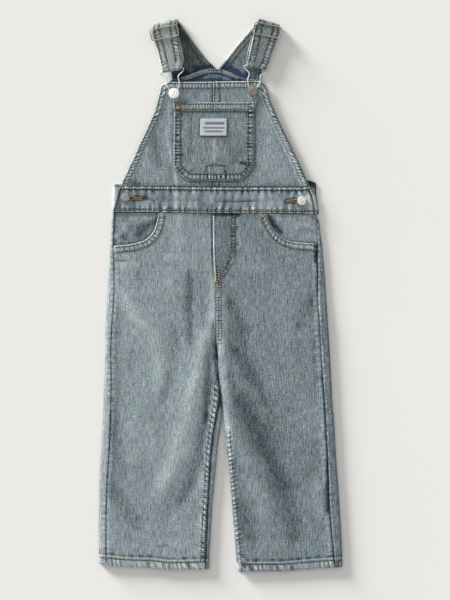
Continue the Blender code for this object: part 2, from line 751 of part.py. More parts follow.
def button(name, centre, foot, underside, radius, metal):
    """A shank button turned about its axis: a shank, a rim and a shallow dished face."""
    shank = radius * 0.3
    profile = (
        (0.0, foot), (shank, foot), (shank, underside), (radius * 0.94, underside + 0.1),
        (radius, underside + 0.8), (radius * 0.97, underside + 1.6), (radius * 0.84, underside + 2.2),
        (radius * 0.7, underside + 2.1), (0.0, underside + 2.3),
    )
    mesh = bmesh.new()
    points = [mesh.verts.new((centre[0] + r, centre[1], z)) for r, z in profile]
    edges = [mesh.edges.new(pair) for pair in zip(points, points[1:])]
    bmesh.ops.spin(
        mesh, geom=points + edges, cent=(centre[0], centre[1], 0.0), axis=(0.0, 0.0, 1.0),
        angle=math.tau, steps=24, use_merge=True,
    )
    bmesh.ops.remove_doubles(mesh, verts=mesh.verts, dist=0.001)
    return finish(name, mesh, metal)


def material(name, colour, roughness, metallic=0.0):
    made = bpy.data.materials.new(name)
    made.use_nodes = True
    shader = made.node_tree.nodes["Principled BSDF"]
    shader.inputs["Base Color"].default_value = (*colour, 1.0)
    shader.inputs["Roughness"].default_value = roughness
    shader.inputs["Metallic"].default_value = metallic
    return made


def clear_scene():
    for piece in list(bpy.context.scene.objects):
        bpy.data.objects.remove(piece, do_unlink=True)


def main():
    clear_scene()
    denim = material("washed denim", (0.22, 0.28, 0.31), 0.85)
    inside = material("unfaded denim", (0.06, 0.09, 0.14), 0.85)
    woven = material("woven label", (0.36, 0.38, 0.42), 0.7)
    steel = material("bright steel", (0.75, 0.75, 0.76), 0.25, 1.0)
    worn = material("dull steel", (0.3, 0.27, 0.24), 0.45, 1.0)

    back_leg("back_leg_l", LEG_L, -1.0, HEM_L, denim)
    back_leg("back_leg_r", LEG_R, 1.0, HEM_R, denim)
    front_leg("front_leg_l", LEG_L, -1.0, SCOOP_L, HEM_L, denim)
    front_leg("front_leg_r", LEG_R, 1.0, SCOOP_R, HEM_R, denim)
    pocket_facing("pocket_facing_l", LEG_L, -1.0, SCOOP_L, HEM_L, denim)
    pocket_facing("pocket_facing_r", LEG_R, 1.0, SCOOP_R, HEM_R, denim)
    slab("fly", FLY, HIP_LIFT + CLOTH + GAP, CLOTH, denim)
    waistband("front_waistband", FRONT_WAIST_TOP, FRONT_WAIST_END, HIP_LIFT, denim)
    waistband("back_waistband", BACK_WAIST_TOP, BACK_WAIST_END, 0.0, denim)

    bib_half("bib_l", "left", BIB_CORNER_L, denim)
    bib_half("bib_r", "right", BIB_CORNER_R, denim)
    bib_pocket(denim)
    label(woven)
    back_bib_half("back_bib_l", "left", (-68.0, 301.2), inside)
    back_bib_half("back_bib_r", "right", (56.4, 301.0), inside)
    back_facing(denim)

    end_l = strap_end(HOOK_L, *STRAP_END)
    end_r = strap_end(HOOK_R, *STRAP_END[::-1])
    strap("strap_l", BACK_STRAP_L, FRONT_STRAP_L, SHOULDER_L, end_l, TAIL_SHIFT, denim)
    strap("strap_r", BACK_STRAP_R, FRONT_STRAP_R, SHOULDER_R, end_r, -TAIL_SHIFT, denim)
    slider("slider_l", (-78.4, 366.2), 0.19, steel)
    slider("slider_r", (65.3, 369.6), -0.21, steel)
    for side, hook, metal in (("l", HOOK_L, steel), ("r", HOOK_R, worn)):
        buckle("buckle_" + side, hook, steel)
        foot = on_bib(hook.button[1])
        button("bib_button_" + side, hook.button, foot, BUTTON_UNDER, BIB_BUTTON_R, metal)
    foot = HIP_LIFT + DOUBLE + GAP
    for side, centre, metal in (("l", SIDE_AT_L, worn), ("r", SIDE_AT_R, steel)):
        button("side_button_" + side, centre, foot, foot + 0.8, SIDE_BUTTON_R, metal)


main()
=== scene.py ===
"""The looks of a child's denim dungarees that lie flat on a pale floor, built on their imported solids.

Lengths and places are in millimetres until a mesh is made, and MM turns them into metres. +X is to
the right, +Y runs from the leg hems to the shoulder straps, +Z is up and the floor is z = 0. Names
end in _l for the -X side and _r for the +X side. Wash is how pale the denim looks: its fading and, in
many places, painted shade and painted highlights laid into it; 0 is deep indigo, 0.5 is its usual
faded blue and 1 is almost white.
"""

import math

import bmesh
import bpy
import numpy as np
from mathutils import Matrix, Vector
from mathutils.bvhtree import BVHTree


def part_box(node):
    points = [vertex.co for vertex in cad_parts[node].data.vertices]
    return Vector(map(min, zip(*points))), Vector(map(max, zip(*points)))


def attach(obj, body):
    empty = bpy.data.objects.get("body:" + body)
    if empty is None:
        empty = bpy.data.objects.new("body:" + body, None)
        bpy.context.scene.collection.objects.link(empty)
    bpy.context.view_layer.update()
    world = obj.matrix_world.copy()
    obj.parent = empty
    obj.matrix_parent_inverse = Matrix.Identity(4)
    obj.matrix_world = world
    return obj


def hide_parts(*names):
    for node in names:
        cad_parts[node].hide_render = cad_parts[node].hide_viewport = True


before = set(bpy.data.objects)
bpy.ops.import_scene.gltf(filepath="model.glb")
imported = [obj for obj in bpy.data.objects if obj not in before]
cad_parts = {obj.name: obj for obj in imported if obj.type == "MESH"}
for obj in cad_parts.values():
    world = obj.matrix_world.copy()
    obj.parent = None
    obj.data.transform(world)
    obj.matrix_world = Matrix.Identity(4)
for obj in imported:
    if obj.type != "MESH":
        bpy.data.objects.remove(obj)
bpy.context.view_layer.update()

MM = 0.001
CLOTH = 1.2  # one layer of denim
FINE = 1.3  # between the grid lines near seams
COARSE = 3.0  # between them in the middle of a panel
THREAD = 0.48  # radius of a topstitch
STITCH = 3.5  # from one stitch to the next
ABOVE = 60.0  # higher than all of the cloth
DOWN = Vector((0.0, 0.0, -1.0))
TURN = 2 * math.pi

SIDES = ("l", "r")
NUMBER = {"l": 0, "r": 1}  # added to a seed, so that the two sides differ
TOWARD = {"l": -1.0, "r": 1.0}  # from the middle to each side; +X is left of a line that runs down
OUTER = {"l": "left", "r": "right"}
INNER = {"l": "right", "r": "left"}


# Numbers over a plane


class Noise:
    """Smooth random values from -1 to 1 over a plane, the same at each run."""

    SIZE = 64

    def __init__(self, seed):
        self.table = np.random.default_rng(seed).uniform(-1.0, 1.0, (self.SIZE, self.SIZE))

    def __call__(self, x, y=0.0):
        x, y = np.broadcast_arrays(np.asarray(x, float), np.asarray(y, float))
        i, j = np.floor(x).astype(int), np.floor(y).astype(int)
        s, t = smooth(x - i), smooth(y - j)
        low = self.at(i, j) * (1 - s) + self.at(i + 1, j) * s
        high = self.at(i, j + 1) * (1 - s) + self.at(i + 1, j + 1) * s
        return low * (1 - t) + high * t

    def at(self, i, j):
        return self.table[i % self.SIZE, j % self.SIZE]


def smooth(value):
    """A soft step from 0 to 1."""
    value = np.clip(value, 0.0, 1.0)
    return value * value * (3 - 2 * value)


def evened(values, rounds, axis):
    """Values of a grid with each one drawn to its neighbours along an axis."""
    values = np.moveaxis(np.array(values, float), axis, 0)
    for _ in range(rounds):
        inner = values[1:-1] * 0.5 + (values[:-2] + values[2:]) * 0.25
        values = np.concatenate([values[:1], inner, values[-1:]])
    return np.moveaxis(values, 0, axis)


def lengths(points):
    """How far along a line each of its points lies."""
    return np.concatenate([[0.0], np.cumsum(np.linalg.norm(np.diff(points, axis=0), axis=1))])


def spaced(points, count):
    """A line with that many points, evenly spaced along it."""
    points = np.asarray(points, float)
    runs = lengths(points)
    places = np.linspace(0.0, runs[-1], count)
    return np.stack([np.interp(places, runs, points[:, k]) for k in range(points.shape[1])], axis=1)


def columns(width, fine=20.0):
    """Places across a panel from 0 to 1, close together near both of its edges."""
    edge = np.arange(0.0, fine, FINE)
    middle = np.linspace(fine, width - fine, max(int((width - 2 * fine) / COARSE), 2) + 1)
    return np.concatenate([edge, middle, width - edge[::-1]]) / width


class Line:
    """A line in plan: a row of stitches, a seam or the edge of a piece."""

    def __init__(self, points):
        self.points = np.asarray(points, float)
        self.runs = lengths(self.points)

    def near(self, x, y):
        """How far along the line each place lies, and how far to the left of it."""
        best = np.full(x.shape, np.inf)
        run, side = np.zeros(x.shape), np.ones(x.shape)
        for (ax, ay), (bx, by), start in zip(self.points, self.points[1:], self.runs):
            dx, dy = bx - ax, by - ay
            length = math.hypot(dx, dy)
            part = np.clip(((x - ax) * dx + (y - ay) * dy) / length**2, 0.0, 1.0)
            gap_x, gap_y = x - ax - dx * part, y - ay - dy * part
            gap = gap_x**2 + gap_y**2
            closer = gap < best
            best = np.where(closer, gap, best)
            run = np.where(closer, start + part * length, run)
            side = np.where(closer, np.where(dx * gap_y - dy * gap_x < 0, -1.0, 1.0), side)
        return run, np.sqrt(best) * side

    def beside(self, distance):
        """The line that runs at a distance to the left of this one."""
        way = np.gradient(self.points, axis=0)
        way /= np.linalg.norm(way, axis=1)[:, None]
        return Line(self.points + np.stack([-way[:, 1], way[:, 0]], axis=1) * distance)


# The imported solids


class Solid:
    """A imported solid: how far it reaches across or along the garment, and how high its top lies."""

    def __init__(self, node):
        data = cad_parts[node].data
        points = np.empty(len(data.vertices) * 3, np.float32)
        data.vertices.foreach_get("co", points)
        self.points = points.reshape(-1, 3).astype(float) / MM
        edges = np.empty(len(data.edges) * 2, np.int32)
        data.edges.foreach_get("vertices", edges)
        self.ends = self.points[edges.reshape(-1, 2)]
        faces = [tuple(face.vertices) for face in data.polygons]
        self.tree = BVHTree.FromPolygons(self.points.tolist(), faces)

    def reach(self, axis, place):
        """From where to where the solid reaches along the other axis at a place on this one."""
        start, end = self.ends[:, 0], self.ends[:, 1]
        crossing = (start[:, axis] - place) * (end[:, axis] - place) <= 0
        crossing &= start[:, axis] != end[:, axis]
        start, end = start[crossing], end[crossing]
        part = (place - start[:, axis]) / (end[:, axis] - start[:, axis])
        other = start[:, 1 - axis] + (end[:, 1 - axis] - start[:, 1 - axis]) * part
        return other.min(), other.max()

    def across(self, places):
        """Its least and greatest X at each Y."""
        return np.array([self.reach(1, y) for y in places])

    def lengthwise(self, places):
        """Its least and greatest Y at each X."""
        return np.array([self.reach(0, x) for x in places])

    def tops(self, x, y):
        """The height of the solid's top at each place, or the nearest one in its row."""
        found = [top_of(self.tree, *place) for place in zip(x.flat, y.flat)]
        found = np.array(found, float).reshape(x.shape)
        for row in found:
            known = np.flatnonzero(~np.isnan(row))
            if len(known):
                row[:] = np.interp(np.arange(len(row)), known, row[known])
        return found


def top_of(tree, x, y):
    """The height of the highest of the faces in a tree at a place, or None beside them."""
    hit = tree.ray_cast(Vector((x, y, ABOVE)), DOWN)[0]
    return None if hit is None else hit.z


# Cloth


class Cloth:
    """A piece of denim as a grid of points, while its relief, its fades and its painted shade and
    highlights are laid on it.
    """

    def __init__(self, x, y, z, across=None, along=None, normals=None):
        self.x, self.y, self.z = x, y, z
        self.across = x if across is None else across
        self.along = y if along is None else along
        self.normals = normals
        self.relief = np.zeros(x.shape)
        self.wash = np.zeros(x.shape)
        self.blue = np.zeros(x.shape)

    def rim(self, side):
        """One edge of the piece's grid: low, high, left or right."""
        sides = {"low": np.s_[0, :], "high": np.s_[-1, :], "left": np.s_[:, 0], "right": np.s_[:, -1]}
        return Line(np.stack([self.x[sides[side]], self.y[sides[side]]], axis=1)[::3])

    def add(self, amount, height, tone, blue=0.0):
        """Cloth that is higher, paler and bluer by as much as an amount says at each point."""
        self.relief += height * amount
        self.wash += tone * amount
        self.blue += blue * amount

    def fold(self, points, width, height, tone, blue=0.0):
        """A soft ridge, trough or band of tone along a line of a few points, strongest in its middle;
        its tone is partly fading and partly painted shade and highlight.
        """
        line = Line(points)
        run, side = line.near(self.across, self.along)
        off_middle = np.abs(2 * run / line.runs[-1] - 1)
        taper = 1 - 0.45 * off_middle**3
        fade = smooth((1 - off_middle) / 0.35 + 0.4)
        self.add(np.exp(-((side / (width * taper)) ** 2)) * fade, height, tone, blue)

    def lay(self, folds):
        """All the folds of a table."""
        for fold in folds:
            self.fold(*fold)

    def rumple(self, size, height, seed, tone=0.0):
        """The unevenness of cloth that was smoothed out by hand."""
        noise = Noise(seed)
        value = noise(self.across / size, self.along / size)
        value += 0.5 * noise(self.across / size * 2.1 + 9.0, self.along / size * 2.1 + 5.0)
        self.add(value, height, tone)

    def pucker(self, line, reach, pitch, height, tone, seed, slant=0.0, shift=0.0, blue=0.0):
        """Small ridges and troughs across a seam, paler on top and darker or bluer between them."""
        run, side = line.near(self.x, self.y)
        side = side - shift
        noise = Noise(seed)
        phase = (run + slant * side) / pitch + 0.55 * noise(run / pitch / 2.7, 4.0)
        wave = np.sin(TURN * phase) * (0.65 + 0.45 * noise(run / pitch / 1.6, 11.0))
        wave += 0.45 * noise(run / pitch * 2.3, side / pitch * 0.8)
        ends = smooth(run / pitch) * smooth((line.runs[-1] - run) / pitch)
        amount = np.exp(-((side / reach) ** 2)) * wave * ends
        self.add(amount, height, tone)
        self.blue += blue * smooth(-amount * 1.6)

    def band(self, line, shift, width, height, tone, blue=0.0, seed=None):
        """A strip beside a line, higher or lower and paler or darker; with a seed it is patchy."""
        run, side = line.near(self.x, self.y)
        amount = np.exp(-(np.abs(side - shift) / width) ** 4)
        if seed is not None:
            amount *= smooth(0.5 + 1.6 * Noise(seed)(run / 9.0, side / 6.0))
        self.add(amount, height, tone, blue)

    def edge(self, line, width, drop, tone):
        """The turned-down edge of a piece along a line, paler where it is rubbed and, at most seams and
        beside raised pieces, darker as painted shade.
        """
        _, side = line.near(self.x, self.y)
        self.add(np.exp(-np.abs(side) / width), -drop, tone)

    def needle(self, line, depth=0.14, tone=-0.2, width=0.9):
        """The dark groove that a row of stitches draws into the cloth."""
        _, side = line.near(self.x, self.y)
        self.add(np.exp(-((side / width) ** 2)), -depth, tone)

    def build(self, node, base, finish, thick=CLOTH, floor=False):
        """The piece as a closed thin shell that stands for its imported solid."""
        up = np.array((0.0, 0.0, 1.0)) if self.normals is None else self.normals
        middle = np.stack([self.x, self.y, self.z], axis=-1)
        sheets = [middle + up * height[..., None] for height in (self.relief, self.relief - thick)]
        points = np.concatenate([sheet.reshape(-1, 3) for sheet in sheets])
        if floor:
            points[:, 2] = np.maximum(points[:, 2], 0.0)
        piece = made(f"{node}_cloth", points, shell_faces(*self.x.shape), finish)
        data = piece.data
        paint(data, "wash", np.tile(np.clip(base + self.wash, 0.02, 0.98).ravel(), 2))
        paint(data, "unfaded", np.tile(np.clip(self.blue, 0.0, 1.0).ravel(), 2))
        place = np.stack([self.across.ravel(), self.along.ravel()], axis=1) * MM
        unwrap(data, np.tile(place, (2, 1)))
        data.shade_smooth()
        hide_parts(node)
        faces = [tuple(face.vertices) for face in data.polygons]
        self.tree = BVHTree.FromPolygons(points.tolist(), faces)
        return piece


def shell_faces(rows, cols):
    """The faces of a closed shell of two grids of points, one after the other."""
    index = np.arange(rows * cols).reshape(rows, cols)
    low = index + rows * cols
    corners = (index[:-1, :-1], index[:-1, 1:], index[1:, 1:], index[1:, :-1])
    top = np.stack([corner.ravel() for corner in corners], axis=1)
    faces = top.tolist() + (top[:, ::-1] + rows * cols).tolist()
    rim = np.concatenate([index[0, :], index[1:, -1], index[-1, -2::-1], index[-2::-1, 0]])
    side = np.concatenate([low[0, :], low[1:, -1], low[-1, -2::-1], low[-2::-1, 0]])
    faces += np.stack([rim[:-1], side[:-1], side[1:], rim[1:]], axis=1).tolist()
    return faces


def paint(data, name, values):
    """One number for each point of a mesh, for its material to read."""
    layer = data.attributes.new(name, "FLOAT", "POINT")
    layer.data.foreach_set("value", np.asarray(values, np.float32))


def unwrap(data, places):
    """The cloth's own flat coordinates, in metres, as the UV map that its weave follows."""
    loops = np.empty(len(data.loops), np.int32)
    data.loops.foreach_get("vertex_index", loops)
    layer = data.uv_layers.new(name="cloth")
    layer.data.foreach_set("uv", places[loops].astype(np.float32).ravel())


def made(name, points, faces, finish):
    """A piece of the garment from points in millimetres, with all of its faces turned outwards."""
    data = bpy.data.meshes.new(name)
    data.from_pydata((np.array(points) * MM).tolist(), [], faces)
    mesh = bmesh.new()
    mesh.from_mesh(data)
    bmesh.ops.recalc_face_normals(mesh, faces=mesh.faces)
    mesh.to_mesh(data)
    mesh.free()
    data.materials.append(finish)
    piece = bpy.data.objects.new(name, data)
    bpy.context.collection.objects.link(piece)
    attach(piece, "root")
    return piece


# Stitches


class Thread:
    """Rows of stitches, gathered from several pieces and then made one joined mesh."""

    ROUND = 5  # points round a thread

    def __init__(self, seed):
        self.points, self.faces, self.tones = [], [], []
        self.random = np.random.default_rng(seed)

    def sew(self, cloth, line, tone, step=STITCH, radius=THREAD, fill=0.56, lift=0.0, hole_shade=1.75):
        """A row of stitches on a piece of cloth, each followed by a black blob of painted shade where
        the thread goes down into the cloth.
        """
        count = max(int(line.runs[-1] / step), 1)
        ends = spaced(line.points, count + 1)
        fade = Noise(int(self.random.integers(1000)))
        for k, (start, end) in enumerate(zip(ends, ends[1:])):
            sway = self.random.normal(0.0, 0.07, 2)
            start, end = start + sway, end + sway
            turn = start + (end - start) * (fill + self.random.uniform(-0.1, 0.1))
            shade = max(tone + min(0.2, tone * 0.6) * fade(k * step / 16.0), 0.12)
            self.stitch(cloth, start, turn, radius, shade, lift)
            # A black blob of painted shade where the thread goes down into the cloth.
            over = (end - turn) * 0.2
            self.stitch(cloth, turn - over, end + over, radius * hole_shade, 0.0, lift - 0.1)

    def stitch(self, cloth, start, end, radius, tone, lift=0.0):
        """One stitch: a short thread that rises from the cloth and goes down into it again."""
        way = end - start
        length = np.linalg.norm(way)
        way /= length
        left = np.array([-way[1], way[0]])
        rings = ((0.0, -0.9, 0.7), (0.18, 0.15, 1.0), (0.82, 0.15, 1.0), (1.0, -0.9, 0.7))
        base = len(self.points)
        for part, rise, size in rings:
            place = start + way * length * part
            height = surface(cloth, place[0], place[1])
            if height is None:
                del self.points[base:]
                return
            for k in range(self.ROUND):
                angle = TURN * k / self.ROUND
                shift = left * math.cos(angle) * radius * size
                up = math.sin(angle) * radius * size + rise * radius + lift
                self.points.append((place[0] + shift[0], place[1] + shift[1], height + up))
        for ring in range(3):
            for k in range(self.ROUND):
                m = (k + 1) % self.ROUND
                a, b = base + ring * self.ROUND, base + (ring + 1) * self.ROUND
                self.faces.append((a + k, a + m, b + m, b + k))
        self.faces.append(tuple(base + k for k in range(self.ROUND))[::-1])
        self.faces.append(tuple(base + 3 * self.ROUND + k for k in range(self.ROUND)))
        shade = tone + self.random.uniform(-0.08, 0.08) if tone > 0.1 else tone
        self.tones += [shade] * (4 * self.ROUND)

    def build(self, node):
        """All the rows sewn so far as one piece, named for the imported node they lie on."""
        piece = made(f"{node}_stitches", self.points, self.faces, FINISH["thread"])
        paint(piece.data, "tone", np.clip(self.tones, 0.0, 1.0))
        piece.data.shade_smooth()


def surface(cloth, x, y):
    """The height of the top of one or more finished pieces at a place, or None beside them."""
    pieces = cloth if isinstance(cloth, list) else [cloth]
    heights = [top_of(piece.tree, x, y) for piece in pieces]
    return max((height for height in heights if height is not None), default=None)


# Materials


class Socket:
    """A value in a material, so that sums and products of values are written as Python ones."""

    def __init__(self, graph, socket):
        self.graph, self.socket = graph, socket

    def math(self, operation, first, second):
        return self.graph.node("ShaderNodeMath", {"operation": operation}, {0: first, 1: second})

    def __add__(self, other):
        return self.math("ADD", self, other)

    def __sub__(self, other):
        return self.math("SUBTRACT", self, other)

    def __rsub__(self, other):
        return self.math("SUBTRACT", other, self)

    def __mul__(self, other):
        return self.math("MULTIPLY", self, other)

    def __pow__(self, other):
        return self.math("POWER", self, other)

    __radd__ = __add__
    __rmul__ = __mul__


class Finish:
    """A material under construction, with its Principled shader."""

    def __init__(self, name):
        self.material = bpy.data.materials.new(name)
        self.material.use_nodes = True
        self.tree = self.material.node_tree
        self.shader = self.tree.nodes["Principled BSDF"]

    def node(self, kind, settings=None, inputs=None, output=0):
        """A node of any type: its settings first, then the values or links of its sockets."""
        made = self.tree.nodes.new(kind)
        for name, value in (settings or {}).items():
            if name == "stops":
                self.stops(made.color_ramp, value)
            else:
                setattr(made, name, value)
        for key, value in (inputs or {}).items():
            self.put(made.inputs[key], value)
        return Socket(self, made.outputs[output])

    def put(self, socket, value):
        if isinstance(value, Socket):
            self.tree.links.new(value.socket, socket)
        else:
            socket.default_value = value

    def stops(self, ramp, stops):
        while len(ramp.elements) < len(stops):
            ramp.elements.new(1.0)
        for element, (place, colour) in zip(ramp.elements, stops):
            element.position = place
            element.color = (*colour, 1.0)

    def own_place(self):
        """Places in the piece itself, in metres."""
        return self.node("ShaderNodeTexCoord", output=3)

    def cloth_place(self):
        """Places on the flat cloth of a piece, in metres."""
        return self.node("ShaderNodeUVMap", {"uv_map": "cloth"})

    def noise(self, place, scale, detail=2.0, roughness=0.5, shift=(0.0, 0.0, 0.0)):
        """Random values round 0, so many to the metre, along each axis or along all of them."""
        scale = scale if isinstance(scale, tuple) else (scale, scale, scale)
        moved = self.node("ShaderNodeMapping", None, {0: place, "Location": shift, "Scale": scale})
        inputs = {"Vector": moved, "Scale": 1.0, "Detail": detail, "Roughness": roughness}
        return self.node("ShaderNodeTexNoise", None, inputs) - 0.5

    def attribute(self, name):
        return self.node("ShaderNodeAttribute", {"attribute_name": name}, output=2)

    def ramp(self, stops, value):
        return self.node("ShaderNodeValToRGB", {"stops": stops}, {0: value})

    def bump(self, height, strength, distance):
        inputs = {"Strength": strength, "Distance": distance, "Height": height}
        return self.node("ShaderNodeBump", None, inputs)

    def limited(self, value, low=0.0, high=1.0):
        return self.node("ShaderNodeClamp", None, {0: value, 1: low, 2: high})

    def blend(self, part, first, second, mode="MIX"):
        settings = {"data_type": "RGBA", "blend_type": mode}
        return self.node("ShaderNodeMix", settings, {0: part, 6: first, 7: second}, output=2)

    def set(self, **values):
        for name, value in values.items():
            self.put(self.shader.inputs[name.replace("_", " ")], value)
        return self.material


# How the dye looks from deep indigo to almost white.
DYE = (
    (0.0, (0.006, 0.012, 0.028)),
    (0.1, (0.019, 0.031, 0.050)),
    (0.2, (0.045, 0.058, 0.070)),
    (0.34, (0.107, 0.135, 0.150)),
    (0.5, (0.202, 0.249, 0.277)),
    (0.68, (0.330, 0.384, 0.412)),
    (0.85, (0.560, 0.585, 0.555)),
    (1.0, (0.780, 0.785, 0.740)),
)


# The same for the patches that still have all of their blue.
INDIGO = (
    (0.0, (0.004, 0.010, 0.028)),
    (0.2, (0.015, 0.034, 0.078)),
    (0.4, (0.045, 0.090, 0.150)),
    (0.6, (0.135, 0.220, 0.295)),
    (0.8, (0.350, 0.450, 0.500)),
    (1.0, (0.700, 0.760, 0.760)),
)


def denim(name, streaks=1.0, shift=0.0, tint=(1.0, 1.0, 1.0)):
    """Washed twill: warp streaks along the cloth, a fine diagonal weave, clouds and specks."""
    finish = Finish(name)
    place = finish.cloth_place()
    away = (shift, shift * 0.7, 0.0)
    wash = finish.attribute("wash")
    fine = finish.noise(place, (600.0, 85.0, 1.0), 1.0, 0.6, away)
    broad = finish.noise(place, (310.0, 22.0, 1.0), 2.0, 0.5, away)
    weft = finish.noise(place, (100.0, 700.0, 1.0), 2.0, 0.5, away)
    grain = finish.noise(place, (680.0, 540.0, 1.0), 1.0, 0.7, away)
    mottle = finish.noise(place, (170.0, 130.0, 1.0), 2.0, 0.9, away)
    pale = wash + fine * (0.56 * streaks) + broad * (0.15 * streaks)
    pale = finish.limited(pale + weft * 0.06 + grain * 0.76 + mottle * 0.16, 0.01, 0.99)
    # The colour of each point's paleness, which holds fading and also painted shade and highlights.
    worn = finish.ramp(DYE, pale)
    patches = finish.noise(place, (24.0, 28.0, 1.0), 2.0, 0.5, (1.7, 0.4, 0.0)) * 1.5 + 0.5
    patches = patches + finish.noise(place, (150.0, 120.0, 1.0), 1.0, 0.5, (0.9, 2.1, 0.0)) * 1.6
    red, green, blue = tint
    greenish = finish.blend(1.0, worn, (0.97 * red, 1.025 * green, 0.96 * blue, 1.0), "MULTIPLY")
    bluish = finish.blend(1.0, worn, (1.015 * red, 0.985 * green, 1.045 * blue, 1.0), "MULTIPLY")
    faded = finish.blend(finish.limited(patches), greenish, bluish)
    unfaded = finish.attribute("unfaded")
    colour = finish.blend(finish.limited(unfaded + grain * unfaded), faded, finish.ramp(INDIGO, pale))
    turned = finish.node("ShaderNodeMapping", None, {0: place, "Rotation": (0.0, 0.0, 0.5)})
    twill = finish.node(
        "ShaderNodeTexWave", {"wave_type": "BANDS"},
        {"Vector": turned, "Scale": 320.0, "Distortion": 1.5, "Detail": 1.0, "Detail Scale": 2.0},
        output=1,
    )
    height = twill * 0.5 + fine * 1.6 + grain * 1.2 + weft * 0.6
    bump = finish.bump(height, 0.22, 0.0003)
    finish.set(Base_Color=colour, Roughness=0.93 - wash * 0.12, Normal=bump)
    return finish.set(Specular_IOR_Level=0.25, Sheen_Weight=0.08)


def thread(name):
    """Cotton topstitch thread, from faded grey through tan to orange; its lowest tone is black, the
    painted shade that the stitch blobs and the buttonhole slits carry.
    """
    finish = Finish(name)
    place = finish.own_place()
    tone = finish.attribute("tone")
    speck = finish.noise(place, 2600.0, 2.0)
    stops = (
        (0.0, (0.022, 0.022, 0.024)), (0.1, (0.035, 0.034, 0.032)), (0.16, (0.38, 0.38, 0.34)),
        (0.35, (0.46, 0.44, 0.36)), (0.6, (0.50, 0.40, 0.22)), (0.8, (0.48, 0.28, 0.08)),
        (1.0, (0.42, 0.18, 0.03)),
    )
    colour = finish.ramp(stops, tone + speck * tone * 0.6)
    twist = finish.noise(place, 1800.0, 1.0)
    bump = finish.bump(twist, 0.4, 0.0002)
    return finish.set(Base_Color=colour, Roughness=0.8 + speck * 0.3, Normal=bump)


def pale_floor():
    """A plain matt floor that is nearly white."""
    finish = Finish("pale floor")
    place = finish.own_place()
    cloud = finish.noise(place, 3.0, 2.0)
    colour = finish.blend(cloud + 0.5, (0.795, 0.785, 0.765, 1.0), (0.81, 0.80, 0.78, 1.0))
    return finish.set(Base_Color=colour, Roughness=0.9)


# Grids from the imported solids


def inset(x, y, by=0.5):
    """Places drawn a little towards the middle of their piece, clear of its rims."""
    drawn = []
    for places in (x, y):
        middle, half = (places.min() + places.max()) / 2, (places.max() - places.min()) / 2
        drawn.append(middle + (places - middle) * (1 - by / half))
    return drawn


def patch(node, across=FINE, along=FINE):
    """A grid over a flat solid between its four edges, found from the corners of its outline."""
    solid = Solid(node)
    plan = solid.points[:, :2]
    low, high = plan.min(0), plan.max(0)
    unit = (plan - low) / (high - low)
    left_low, right_low, right_high, left_high = (
        plan[np.argmax(unit @ np.array(way))] for way in ((-1, -1), (1, -1), (1, 1), (-1, 1))
    )

    def between(start, end, axis, count, hair=0.02):
        return np.linspace(start[axis] + hair, end[axis] - hair, count)

    side_left, side_right = between(left_low, left_high, 1, 60), between(right_low, right_high, 1, 60)
    foot, head = between(left_low, right_low, 0, 120), between(left_high, right_high, 0, 120)
    left = np.stack([solid.across(side_left)[:, 0], side_left], 1)
    right = np.stack([solid.across(side_right)[:, 1], side_right], 1)
    bottom = np.stack([foot, solid.lengthwise(foot)[:, 0]], 1)
    top = np.stack([head, solid.lengthwise(head)[:, 1]], 1)
    rows = max(int(max(lengths(left)[-1], lengths(right)[-1]) / along), 3) + 1
    cols = max(int(max(lengths(bottom)[-1], lengths(top)[-1]) / across), 3) + 1
    left, right = spaced(left, rows)[:, None, :], spaced(right, rows)[:, None, :]
    bottom, top = spaced(bottom, cols)[None, :, :], spaced(top, cols)[None, :, :]
    v = np.linspace(0, 1, rows)[:, None, None]
    u = np.linspace(0, 1, cols)[None, :, None]
    sides = left * (1 - u) + right * u
    ends = bottom * (1 - v) + top * v
    corners_left, corners_right = (edge[:1] * (1 - v) + edge[-1:] * v for edge in (left, right))
    plan = sides + ends - (corners_left * (1 - u) + corners_right * u)
    x, y = plan[..., 0], plan[..., 1]
    return Cloth(x, y, evened(evened(solid.tops(*inset(x, y)), 3, 0), 3, 1))


# Legs

WAIST_Y = 113.6  # the upper end of the front legs, and next the one of the back legs
BACK_WAIST_Y = 113.4
SCOOP_FOOT_Y = 60.0  # where the pocket mouths end and the outseams begin
CROTCH_Y = -73.0
SHIN_Y = -290.0  # from here down the rows of a leg turn into the curve of its hem
HEM_Y = -374.5
HEM = 12.0  # height of the turned hems
HEM_ROW = HEM - 1.2  # from the lowest edge up to its row of stitches
HEM_TONE = {"l": 0.6, "r": 0.75}
PANEL_WIDTH = 155.0
CLEAR_OF_BACK = 1.35  # height of the cloth of the back legs, and a little air
# The bartack at the upper end of each pocket mouth.
SCOOP_TOPS = {"l": ((-85.0, 113.0), (-80.0, 108.6)), "r": ((54.6, 112.6), (59.0, 108.0))}
